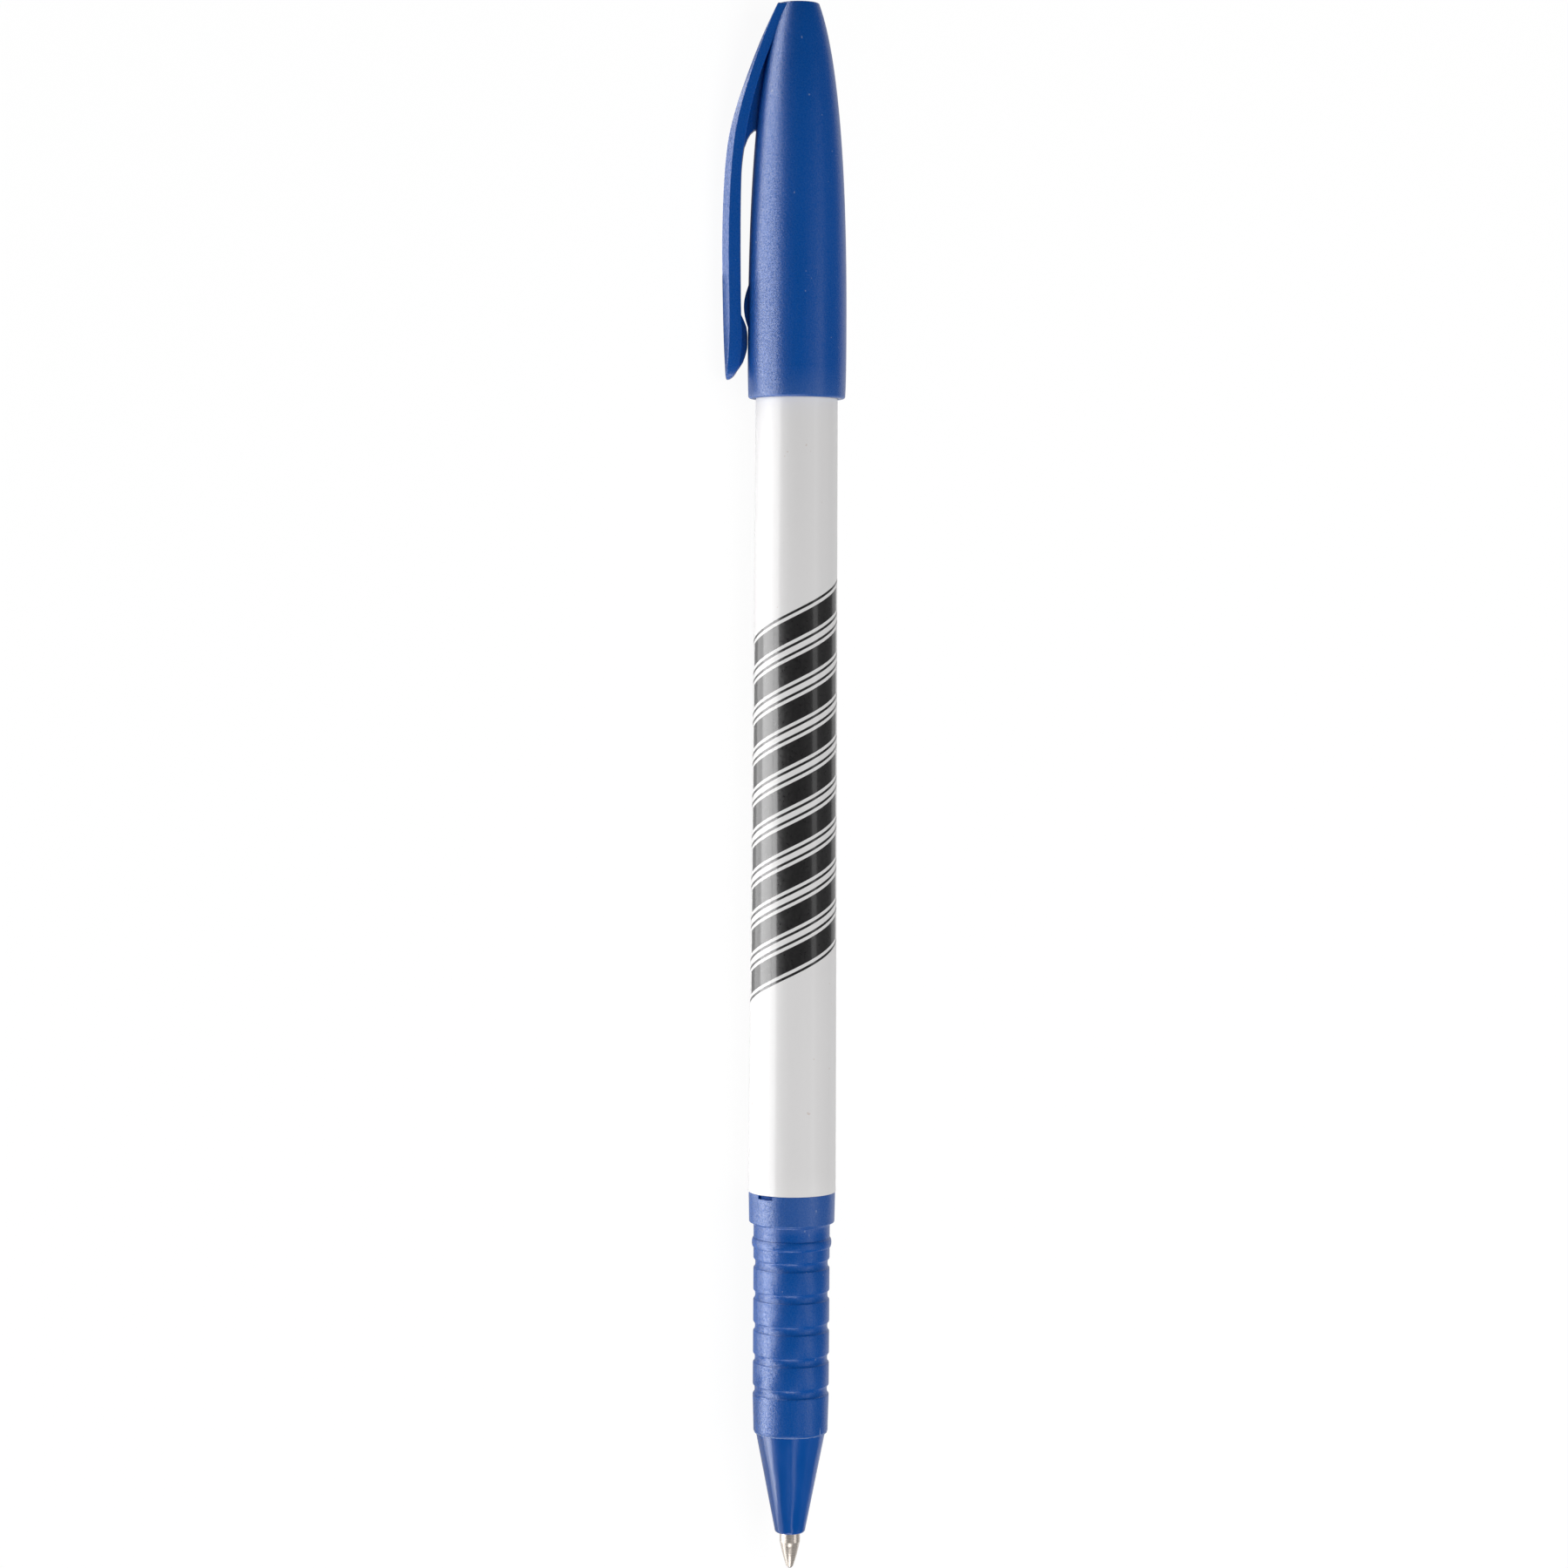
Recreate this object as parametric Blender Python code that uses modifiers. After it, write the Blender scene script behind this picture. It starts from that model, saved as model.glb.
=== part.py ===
"""A capped stick ballpoint pen lying on a desk, its cap posted on the rear of the barrel.

The pen is drawn upright along its own Z axis, ball end at 0 and cap crown at the top, with the
pocket clip towards -X. The empty "pen" then lays it down along the world's X axis, rolled until
the edge of the clip and the rim of the cap both touch the desk.
"""

import math

import bmesh
import bpy
from mathutils import Matrix, Vector
from mathutils.geometry import interpolate_bezier

MM = 0.001
STEPS = 40
SMALL_STEPS = 24
MERGE = 1e-6

# Clearances
PRESS_GAP = 0.05 * MM
SEAT_GAP = 0.05 * MM
BALL_GAP = 0.015 * MM
CAP_GAP = 0.06 * MM
FLEX_GAP = 0.3 * MM
PAD_GAP = 0.1 * MM

# How far one moulded shape runs into the next
OVERLAP = 0.3 * MM

# Writing ball and its metal housing
BALL_RADIUS = 0.35 * MM
LIP_HEIGHT = 0.13 * MM
LIP_RADIUS = 0.375 * MM
TAPER_LENGTH = 2.5 * MM
TAPER_BULGE = 0.05 * MM
TAPER_END_RADIUS = 1.06 * MM
HOUSING_RADIUS = 1.15 * MM
HOUSING_EDGE = 0.25 * MM
HOUSING_LENGTH = 11.2 * MM
HOUSING_BORE = 0.5 * MM
FEED_RADIUS = 0.15 * MM
FEED_LENGTH = 0.5 * MM

# Nose cone
NOSE_START = 4.1 * MM
NOSE_TIP_RADIUS = 1.62 * MM
NOSE_TIP_ROUND = 0.3 * MM
NOSE_END = 15.5 * MM
NOSE_END_RADIUS = 3.89 * MM
NOSE_SPIGOT_RADIUS = 3.2 * MM
NOSE_SPIGOT_LENGTH = 8.0 * MM

# Plastic holder between the metal housing and the ink tube
HOLDER_START = 8.0 * MM
HOLDER_RADIUS = 1.7 * MM
HOLDER_COLLAR_LENGTH = 6.0 * MM
HOLDER_SPIGOT_LENGTH = 4.0 * MM
HOLDER_BORE = 0.5 * MM

# Ink tube and ink
TUBE_RADIUS = 1.55 * MM
TUBE_WALL = 0.5 * MM
TUBE_LENGTH = 108.0 * MM
INK_LENGTH = 92.0 * MM

# Grip sleeve
SLEEVE_LIP_RADIUS = 4.17 * MM
SLEEVE_LIP_ROUND = 0.25 * MM
SLEEVE_RADIUS = 4.27 * MM
SLEEVE_DRAFT_LENGTH = 4.0 * MM
GROOVE_COUNT = 5
FIRST_GROOVE = 20.41 * MM
GROOVE_PITCH = 3.555 * MM
GROOVE_HALF_WIDTH = 0.52 * MM
GROOVE_DEPTH = 0.21 * MM
BEAD_CENTRE = 36.95 * MM
BEAD_HALF_WIDTH = 0.5 * MM
BEAD_HEIGHT = 0.18 * MM
NECK_END = 38.83 * MM
COLLAR_CHAMFER = 0.4 * MM
COLLAR_ROUND = 0.2 * MM
COLLAR_LOWER_RADIUS = 4.78 * MM
COLLAR_TOP = 42.65 * MM
COLLAR_RADIUS = 4.84 * MM
SLEEVE_SPIGOT_LENGTH = 12.0 * MM
SLEEVE_BORE = 2.6 * MM
NOTCH_WIDTH = 2.0 * MM
NOTCH_HEIGHT = 0.6 * MM
NOTCH_DEPTH = 0.7 * MM
NOTCH_ANGLE = math.radians(51.25)

# Barrel and its rear plug
BARREL_LENGTH = 100.8 * MM
BARREL_FRONT_RADIUS = 4.9 * MM
BARREL_REAR_RADIUS = 4.487 * MM
BARREL_WALL = 0.95 * MM
BARREL_EDGE = 0.12 * MM
PLUG_SPIGOT_LENGTH = 5.0 * MM
PLUG_FLANGE_INSET = 0.25 * MM
PLUG_FLANGE_THICKNESS = 1.2 * MM
PLUG_EDGE = 0.3 * MM
PLUG_RECESS_RADIUS = 2.2 * MM

# Cap
POSTED_DEPTH = 12.5 * MM
CAP_LENGTH = 43.43 * MM
CAP_RADIUS = 5.465 * MM
CAP_WALL = 0.865 * MM
MOUTH_RADIUS = 5.38 * MM
MOUTH_ROUND = 0.3 * MM
MOUTH_DRAFT_LENGTH = 5.0 * MM
CROWN_FLAT_RADIUS = 2.21 * MM
CROWN_EDGE = 0.08 * MM
CROWN_THICKNESS = 2.0 * MM
CROWN_POWER = 2.5
CROWN_ROOT = 2.1

# Pocket clip, its web and its pad
CLIP_STANDOFF = 0.86 * MM
CLIP_THICKNESS = 2.02 * MM
CLIP_HALF_WIDTH = 1.9 * MM
CLIP_RIDGE_HALF_WIDTH = 1.05 * MM
CLIP_END_HALF_WIDTH = 1.15 * MM
CLIP_END_THICKNESS = 0.5 * MM
CLIP_END_CURVE = 3.6 * MM
CLIP_END_EASE = 0.074 * MM
CLIP_END_DROP = 0.43 * MM
RIB_HALF_WIDTH = 0.9 * MM
SLOT_RISE = 1.1 * MM
SLOT_ROUND = 0.3 * MM
WEB_RISE = 2.0 * MM
PAD_LENGTH = 6.9 * MM
PAD_LEAD_LENGTH = 2.1 * MM
PAD_CONTACT_LENGTH = 1.4 * MM
PAD_END_INSET = 0.1 * MM
PAD_END_RISE = 0.35 * MM

# Stations down the clip, measured from the crown
CLIP_TOP_DEPTH = 0.32 * MM
WEB_TOP_DEPTH = 3.7 * MM
BROW_DEPTH = 7.2 * MM
SHOULDER_DEPTH = 13.0 * MM
BEND_DEPTH = 14.9 * MM
ARM_DEPTH = 16.8 * MM
STRAIGHT_DEPTH = 20.0 * MM
CREST_DEPTH = 26.4 * MM
CLIP_END_DEPTH = 41.35 * MM

# How far the clip's ridge and its inner face have drawn in at the stations, and how deep its roof is
TOP_RIDGE_STEP = 0.25 * MM
BROW_RIDGE_DROP = 2.93 * MM
SHOULDER_RIDGE_DROP = 1.06 * MM
ARM_RIDGE_DROP = 0.40 * MM
BROW_INNER_DROP = 2.14 * MM
SHOULDER_INNER_DROP = 0.81 * MM
ARM_INNER_DROP = 0.20 * MM
CLIP_ROOF = 0.87 * MM
END_ROOF = 0.12 * MM
TIP_ROOF = 0.62 * MM
SHOULDER_ROOF = 0.68 * MM
BROW_ROOF = 0.34 * MM

# The hump on the cap that the pad closes over
HUMP_CENTRE = 33.3 * MM
HUMP_HALF_LENGTH = 2.1 * MM
HUMP_HEIGHT = 0.48 * MM

# Places along the pen that follow from the sizes above
BALL_CENTRE = BALL_RADIUS
LIP_START = BALL_CENTRE - LIP_HEIGHT
TAPER_END = LIP_START + TAPER_LENGTH
HOUSING_END = LIP_START + HOUSING_LENGTH
HOLDER_SEAT = HOUSING_END + SEAT_GAP
HOLDER_SHOULDER = HOLDER_START + HOLDER_COLLAR_LENGTH
HOLDER_END = HOLDER_SHOULDER + HOLDER_SPIGOT_LENGTH
TUBE_START = HOLDER_SHOULDER + SEAT_GAP
NOSE_SHOULDER = NOSE_END + SEAT_GAP
NOSE_SPIGOT_END = NOSE_END + NOSE_SPIGOT_LENGTH
SLEEVE_SPIGOT_END = COLLAR_TOP + SLEEVE_SPIGOT_LENGTH
BARREL_FRONT = COLLAR_TOP + SEAT_GAP
BARREL_REAR = BARREL_FRONT + BARREL_LENGTH
PLUG_SEAT = BARREL_REAR + SEAT_GAP
PLUG_END = PLUG_SEAT + PLUG_FLANGE_THICKNESS
CAP_MOUTH = BARREL_REAR - POSTED_DEPTH
CAP_CROWN = CAP_MOUTH + CAP_LENGTH
CAP_WIDEST = CAP_MOUTH + MOUTH_DRAFT_LENGTH
CLIP_INNER = CAP_RADIUS + CLIP_STANDOFF
CLIP_OUTER = CLIP_INNER + CLIP_THICKNESS
CLIP_CREASE = CLIP_OUTER - CLIP_ROOF
CLIP_TOP = CAP_CROWN - CLIP_TOP_DEPTH
CLIP_TIP = CAP_CROWN - CLIP_END_DEPTH
TIP_CURVE_END = CLIP_TIP + CLIP_END_CURVE
BEND_HEIGHT = CAP_CROWN - BEND_DEPTH

# Colours, from the photograph
BLUE = (0.010, 0.065, 0.290, 1.0)
NOSE_BLUE = (0.006, 0.055, 0.280, 1.0)
WHITE = (0.83, 0.83, 0.82, 1.0)
INK_BLUE = (0.004, 0.008, 0.09, 1.0)
MILKY = (0.80, 0.82, 0.83, 1.0)
NICKEL = (0.66, 0.62, 0.57, 1.0)
CARBIDE = (0.50, 0.50, 0.52, 1.0)


def clear_scene():
    for obj in list(bpy.data.objects):
        bpy.data.objects.remove(obj, do_unlink=True)


def new_collection(name, hidden=False):
    collection = bpy.data.collections.new(name)
    collection.hide_render = hidden
    bpy.context.scene.collection.children.link(collection)
    return collection


def new_material(name, colour, roughness, metallic=0.0):
    material = bpy.data.materials.new(name)
    material.use_nodes = True
    shader = material.node_tree.nodes["Principled BSDF"]
    shader.inputs["Base Color"].default_value = colour
    shader.inputs["Roughness"].default_value = roughness
    shader.inputs["Metallic"].default_value = metallic
    material.diffuse_color = colour
    return material


def add_mesh_object(name, mesh, collection, parent, material=None):
    obj = bpy.data.objects.new(name, mesh)
    collection.objects.link(obj)
    obj.parent = parent
    if material is not None:
        mesh.materials.append(material)
    return obj


def as_cutter(obj):
    obj.hide_render = True
    obj.display_type = "WIRE"
    return obj


def arc(centre, radii, start, end, steps):
    """Points (radius, height) on an ellipse round `centre`, from one angle to another in degrees."""
    points = []
    for step in range(steps + 1):
        angle = math.radians(start + (end - start) * step / steps)
        points.append((centre[0] + radii[0] * math.cos(angle), centre[1] + radii[1] * math.sin(angle)))
    return points


def curve_at(points, place):
    """The value at `place` on a smooth curve through a few (place, value) points in rising order."""
    if place <= points[0][0]:
        return points[0][1]
    if place >= points[-1][0]:
        return points[-1][1]
    slopes = []
    for i in range(len(points)):
        before = points[max(i - 1, 0)]
        after = points[min(i + 1, len(points) - 1)]
        slopes.append((after[1] - before[1]) / (after[0] - before[0]))
    i = max(k for k in range(len(points) - 1) if points[k][0] <= place)
    span = points[i + 1][0] - points[i][0]
    t = (place - points[i][0]) / span
    return (
        (2 * t**3 - 3 * t**2 + 1) * points[i][1]
        + (t**3 - 2 * t**2 + t) * span * slopes[i]
        + (3 * t**2 - 2 * t**3) * points[i + 1][1]
        + (t**3 - t**2) * span * slopes[i + 1]
    )


def turned(name, profile, collection, parent, material, closed=True, steps=STEPS):
    """Turns a (radius, height) profile about Z. It runs down the outer side and back up the inner one."""
    shape = bmesh.new()
    points = [shape.verts.new((radius, 0.0, height)) for radius, height in profile]
    for i in range(len(points) - 1):
        shape.edges.new((points[i], points[i + 1]))
    if closed:
        shape.edges.new((points[-1], points[0]))
    mesh = bpy.data.meshes.new(name)
    shape.to_mesh(mesh)
    shape.free()
    obj = add_mesh_object(name, mesh, collection, parent, material)
    screw = obj.modifiers.new("turn", "SCREW")
    screw.axis = "Z"
    screw.steps = steps
    screw.render_steps = steps
    screw.use_merge_vertices = True
    screw.merge_threshold = MERGE
    return obj


def plate(name, outline, half_width, collection, parent):
    """A flat plate on the clip's plane: an outline of (distance out from the axis, height) points."""
    curve = bpy.data.curves.new(name, "CURVE")
    curve.dimensions = "2D"
    curve.fill_mode = "BOTH"
    curve.extrude = half_width
    spline = curve.splines.new("POLY")
    spline.points.add(len(outline) - 1)
    for point, (out, height) in zip(spline.points, outline):
        point.co = (-out, height, 0.0, 1.0)
    spline.use_cyclic_u = True
    sketch = bpy.data.objects.new(name + "_sketch", curve)
    collection.objects.link(sketch)
    mesh = bpy.data.meshes.new_from_object(sketch.evaluated_get(bpy.context.evaluated_depsgraph_get()))
    bpy.data.objects.remove(sketch, do_unlink=True)
    shape = bmesh.new()
    shape.from_mesh(mesh)
    bmesh.ops.remove_doubles(shape, verts=shape.verts, dist=MERGE)
    bmesh.ops.transform(shape, matrix=Matrix.Rotation(math.pi / 2, 4, "X"), verts=shape.verts)
    bmesh.ops.recalc_face_normals(shape, faces=shape.faces)
    shape.to_mesh(mesh)
    shape.free()
    return as_cutter(add_mesh_object(name, mesh, collection, parent))


def join_with(obj, other, operation="UNION"):
    joint = obj.modifiers.new(other.name, "BOOLEAN")
    joint.operation = operation
    joint.solver = "EXACT"
    joint.object = other


def settle(obj, angle=30):
    """Replaces an object's mesh by the one its modifiers make, shaded smooth with its edges crisp."""
    mesh = bpy.data.meshes.new_from_object(obj.evaluated_get(bpy.context.evaluated_depsgraph_get()))
    mesh.name = obj.name
    obj.modifiers.clear()
    obj.data = mesh
    mesh.shade_smooth()
    mesh.set_sharp_from_angle(angle=math.radians(angle))


def barrel_radius(height):
    share = (height - BARREL_FRONT) / BARREL_LENGTH
    return BARREL_FRONT_RADIUS + (BARREL_REAR_RADIUS - BARREL_FRONT_RADIUS) * share


def barrel_bore(height):
    return barrel_radius(height) - BARREL_WALL


def cap_radius(height):
    """The cap's outer radius: a gentle draft at the mouth, then a superellipse up to the flat crown."""
    if height < CAP_WIDEST:
        share = (CAP_WIDEST - height) / MOUTH_DRAFT_LENGTH
        return CAP_RADIUS + (MOUTH_RADIUS - CAP_RADIUS) * share**2
    flat = (CROWN_FLAT_RADIUS + CROWN_EDGE) / CAP_RADIUS
    reach = (CAP_CROWN - CROWN_EDGE - CAP_WIDEST) / (1 - flat**CROWN_ROOT) ** (1 / CROWN_POWER)
    share = (height - CAP_WIDEST) / reach
    return CAP_RADIUS * (1 - share**CROWN_POWER) ** (1 / CROWN_ROOT)


def cap_bore(height):
    """The cap's inner radius: a straight bore over the barrel and plug, then a wall inside the cap."""
    sleeve = barrel_radius(CAP_MOUTH) + CAP_GAP
    if height <= PLUG_END + SEAT_GAP:
        return sleeve
    return min(sleeve, cap_radius(height) - CAP_WALL)


def heights_between(low, high, count):
    return [low + (high - low) * i / count for i in range(count + 1)]


def build_point(pen, parts, metal, carbide, milky):
    """The ball, the turned metal housing that holds it, and the plastic holder behind."""
    shape = bmesh.new()
    bmesh.ops.create_uvsphere(shape, u_segments=16, v_segments=10, radius=BALL_RADIUS)
    mesh = bpy.data.meshes.new("writing_ball")
    shape.to_mesh(mesh)
    shape.free()
    ball = add_mesh_object("writing_ball", mesh, parts, pen, carbide)
    ball.location = (0, 0, BALL_CENTRE)

    socket = BALL_RADIUS + BALL_GAP
    lip_angle = math.degrees(math.asin((LIP_START - BALL_CENTRE) / socket))
    seat_angle = math.degrees(math.acos(FEED_RADIUS / socket))
    seat = arc((0, BALL_CENTRE), (socket, socket), lip_angle, seat_angle, 8)
    taper = [
        (
            LIP_RADIUS
            + (TAPER_END_RADIUS - LIP_RADIUS) * share
            + TAPER_BULGE * math.sin(math.pi * share),
            LIP_START + TAPER_LENGTH * share,
        )
        for share in (1.0, 0.75, 0.5, 0.25, 0.0)
    ]
    profile = [
        (HOUSING_RADIUS, HOUSING_END),
        (HOUSING_RADIUS, TAPER_END + HOUSING_EDGE),
        *taper,
        *seat,
        (FEED_RADIUS, BALL_CENTRE + socket + FEED_LENGTH),
        (HOUSING_BORE, BALL_CENTRE + socket + FEED_LENGTH + HOUSING_BORE),
        (HOUSING_BORE, HOUSING_END),
    ]
    housing = turned("point_housing", profile, parts, pen, metal, steps=SMALL_STEPS)

    profile = [
        (TUBE_RADIUS - TUBE_WALL - PRESS_GAP, HOLDER_END),
        (TUBE_RADIUS - TUBE_WALL - PRESS_GAP, HOLDER_SHOULDER),
        (HOLDER_RADIUS, HOLDER_SHOULDER),
        (HOLDER_RADIUS, HOLDER_START),
        (HOUSING_RADIUS + PRESS_GAP, HOLDER_START),
        (HOUSING_RADIUS + PRESS_GAP, HOLDER_SEAT),
        (HOLDER_BORE, HOLDER_SEAT),
        (HOLDER_BORE, HOLDER_END),
    ]
    holder = turned("point_holder", profile, parts, pen, milky, steps=SMALL_STEPS)
    return ball, housing, holder


def build_refill(pen, parts, milky, ink_blue):
    """The ink tube, pressed over the holder's spigot, and the ink inside it."""
    bore = TUBE_RADIUS - TUBE_WALL
    profile = [
        (TUBE_RADIUS, TUBE_START + TUBE_LENGTH),
        (TUBE_RADIUS, TUBE_START),
        (bore, TUBE_START),
        (bore, TUBE_START + TUBE_LENGTH),
    ]
    tube = turned("refill_tube", profile, parts, pen, milky, steps=SMALL_STEPS)

    ink_start = HOLDER_END + SEAT_GAP
    shape = bmesh.new()
    bmesh.ops.create_cone(
        shape,
        cap_ends=True,
        segments=SMALL_STEPS,
        radius1=bore - PRESS_GAP,
        radius2=bore - PRESS_GAP,
        depth=INK_LENGTH,
    )
    mesh = bpy.data.meshes.new("ink_column")
    shape.to_mesh(mesh)
    shape.free()
    ink = add_mesh_object("ink_column", mesh, parts, pen, ink_blue)
    ink.location = (0, 0, ink_start + INK_LENGTH / 2)
    return tube, ink


def build_nose(pen, parts, blue):
    """The smooth cone that guides the metal point, with a spigot that presses into the grip sleeve."""
    slope = (NOSE_END_RADIUS - NOSE_TIP_RADIUS) / (NOSE_END - NOSE_START)
    shoulder = NOSE_TIP_RADIUS + slope * NOSE_TIP_ROUND
    corner = arc(
        (shoulder - NOSE_TIP_ROUND, NOSE_START + NOSE_TIP_ROUND),
        (NOSE_TIP_ROUND, NOSE_TIP_ROUND),
        0,
        -90,
        4,
    )
    bore = HOUSING_RADIUS + PRESS_GAP
    chamber = HOLDER_RADIUS + PRESS_GAP
    profile = [
        (NOSE_SPIGOT_RADIUS, NOSE_SPIGOT_END),
        (NOSE_SPIGOT_RADIUS, NOSE_END),
        (NOSE_END_RADIUS, NOSE_END),
        *corner,
        (bore, NOSE_START),
        (bore, HOLDER_START - SEAT_GAP),
        (chamber, HOLDER_START - SEAT_GAP),
        (chamber, NOSE_SPIGOT_END),
    ]
    return turned("nose_cone", profile, parts, pen, blue)


def groove_points(centre):
    """One finger groove on the sleeve, from its upper edge down to its lower one."""
    return arc((SLEEVE_RADIUS, centre), (GROOVE_DEPTH, GROOVE_HALF_WIDTH), 90, 270, 6)


def build_sleeve(pen, parts, cutters, blue):
    """The textured grip: collar, cap bead, finger grooves, and a spigot that presses into the barrel."""
    bore = NOSE_SPIGOT_RADIUS + PRESS_GAP
    bead = arc((SLEEVE_RADIUS, BEAD_CENTRE), (BEAD_HEIGHT, BEAD_HALF_WIDTH), 90, -90, 6)
    grooves = []
    for i in reversed(range(GROOVE_COUNT)):
        grooves += groove_points(FIRST_GROOVE + i * GROOVE_PITCH)
    lip = arc(
        (SLEEVE_LIP_RADIUS - SLEEVE_LIP_ROUND, NOSE_SHOULDER + SLEEVE_LIP_ROUND),
        (SLEEVE_LIP_ROUND, SLEEVE_LIP_ROUND),
        0,
        -90,
        4,
    )
    profile = [
        (barrel_bore(SLEEVE_SPIGOT_END) - PRESS_GAP, SLEEVE_SPIGOT_END),
        (barrel_bore(COLLAR_TOP) - PRESS_GAP, COLLAR_TOP),
        (COLLAR_RADIUS, COLLAR_TOP),
        (COLLAR_LOWER_RADIUS, NECK_END + COLLAR_CHAMFER + COLLAR_ROUND),
        (SLEEVE_RADIUS + COLLAR_CHAMFER, NECK_END + COLLAR_CHAMFER),
        (SLEEVE_RADIUS, NECK_END),
        *bead,
        *grooves,
        (SLEEVE_RADIUS, NOSE_SHOULDER + SLEEVE_DRAFT_LENGTH),
        *lip,
        (bore, NOSE_SHOULDER),
        (bore, NOSE_SPIGOT_END + SEAT_GAP),
        (SLEEVE_BORE, NOSE_SPIGOT_END + SEAT_GAP),
        (SLEEVE_BORE, SLEEVE_SPIGOT_END),
    ]
    sleeve = turned("grip_sleeve", profile, parts, pen, blue)

    shape = bmesh.new()
    bmesh.ops.create_cube(shape, size=1.0)
    bmesh.ops.scale(shape, vec=(2 * NOTCH_DEPTH, NOTCH_WIDTH, 2 * NOTCH_HEIGHT), verts=shape.verts)
    bmesh.ops.translate(shape, vec=(-COLLAR_RADIUS, 0, COLLAR_TOP), verts=shape.verts)
    bmesh.ops.rotate(shape, matrix=Matrix.Rotation(NOTCH_ANGLE, 3, "Z"), verts=shape.verts)
    mesh = bpy.data.meshes.new("collar_notch")
    shape.to_mesh(mesh)
    shape.free()
    notch = as_cutter(add_mesh_object("collar_notch", mesh, cutters, pen))
    join_with(sleeve, notch, "DIFFERENCE")
    return sleeve


def build_barrel(pen, parts, white, blue):
    """The drafted white tube, and the plug that closes its rear end."""
    profile = [
        (barrel_radius(BARREL_REAR) - BARREL_EDGE, BARREL_REAR),
        (barrel_radius(BARREL_REAR - BARREL_EDGE), BARREL_REAR - BARREL_EDGE),
        (barrel_radius(BARREL_FRONT + BARREL_EDGE), BARREL_FRONT + BARREL_EDGE),
        (barrel_radius(BARREL_FRONT) - BARREL_EDGE, BARREL_FRONT),
        (barrel_bore(BARREL_FRONT), BARREL_FRONT),
        (barrel_bore(BARREL_REAR), BARREL_REAR),
    ]
    barrel = turned("barrel", profile, parts, pen, white)

    spigot_start = PLUG_SEAT - PLUG_SPIGOT_LENGTH
    flange = BARREL_REAR_RADIUS - PLUG_FLANGE_INSET
    edge = arc((flange - PLUG_EDGE, PLUG_END - PLUG_EDGE), (PLUG_EDGE, PLUG_EDGE), 90, 0, 3)
    profile = [
        (0, PLUG_END),
        *edge,
        (flange, PLUG_SEAT),
        (barrel_bore(PLUG_SEAT) - PRESS_GAP, PLUG_SEAT),
        (barrel_bore(spigot_start) - PRESS_GAP, spigot_start),
        (PLUG_RECESS_RADIUS, spigot_start),
        (PLUG_RECESS_RADIUS, PLUG_SEAT),
        (0, PLUG_SEAT),
    ]
    plug = turned("rear_plug", profile, parts, pen, blue, closed=False)
    return barrel, plug


def ridge_at(height):
    """How far the clip's outer ridge stands from the axis at a height."""
    crest = CAP_CROWN - CREST_DEPTH
    if height <= crest:
        share = (crest - height) / (crest - CLIP_TIP)
        return CLIP_OUTER - CLIP_END_DROP * share**2
    points = [
        (CLIP_TIP, CLIP_OUTER),
        (crest, CLIP_OUTER),
        (CAP_CROWN - ARM_DEPTH, CLIP_OUTER - ARM_RIDGE_DROP),
        (CAP_CROWN - SHOULDER_DEPTH, CLIP_OUTER - SHOULDER_RIDGE_DROP),
        (CAP_CROWN - BROW_DEPTH, CLIP_OUTER - BROW_RIDGE_DROP),
        (CLIP_TOP, CROWN_FLAT_RADIUS + TOP_RIDGE_STEP),
    ]
    return curve_at(points, height)


def underside_at(height):
    """How far the clip's inner face stands from the axis: curved out at the tip, drawn in at the top."""
    if height < TIP_CURVE_END:
        radius = CLIP_END_CURVE + CLIP_END_EASE
        bow = radius - math.sqrt(radius**2 - (TIP_CURVE_END - height) ** 2)
        full_bow = radius - math.sqrt(radius**2 - CLIP_END_CURVE**2)
        end = ridge_at(CLIP_TIP) - CLIP_END_THICKNESS
        return CLIP_INNER + (end - CLIP_INNER) * bow / full_bow
    points = [
        (TIP_CURVE_END, CLIP_INNER),
        (CAP_CROWN - STRAIGHT_DEPTH, CLIP_INNER),
        (CAP_CROWN - ARM_DEPTH, CLIP_INNER - ARM_INNER_DROP),
        (CAP_CROWN - SHOULDER_DEPTH, CLIP_INNER - SHOULDER_INNER_DROP),
        (CAP_CROWN - BROW_DEPTH, CLIP_INNER - BROW_INNER_DROP),
        (CAP_CROWN - WEB_TOP_DEPTH, cap_radius(CAP_CROWN - WEB_TOP_DEPTH) - OVERLAP),
        (CLIP_TOP, CROWN_FLAT_RADIUS - OVERLAP),
    ]
    return curve_at(points, height)


def roof_at(height):
    """How deep the clip's sloping outer facets are: shallow at both ends, full along the arm."""
    points = [
        (CLIP_TIP, END_ROOF),
        (TIP_CURVE_END, TIP_ROOF),
        (CLIP_TIP + PAD_LENGTH, CLIP_ROOF),
        (CAP_CROWN - ARM_DEPTH, CLIP_ROOF),
        (CAP_CROWN - SHOULDER_DEPTH, SHOULDER_ROOF),
        (CAP_CROWN - BROW_DEPTH, BROW_ROOF),
        (CLIP_TOP, END_ROOF),
    ]
    return curve_at(points, height)


def width_at(height):
    """Half the clip's width: even along the arm, drawn in round the tip."""
    share = max(0.0, (TIP_CURVE_END - height) / CLIP_END_CURVE)
    return CLIP_HALF_WIDTH - (CLIP_HALF_WIDTH - CLIP_END_HALF_WIDTH) * share**2


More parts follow.
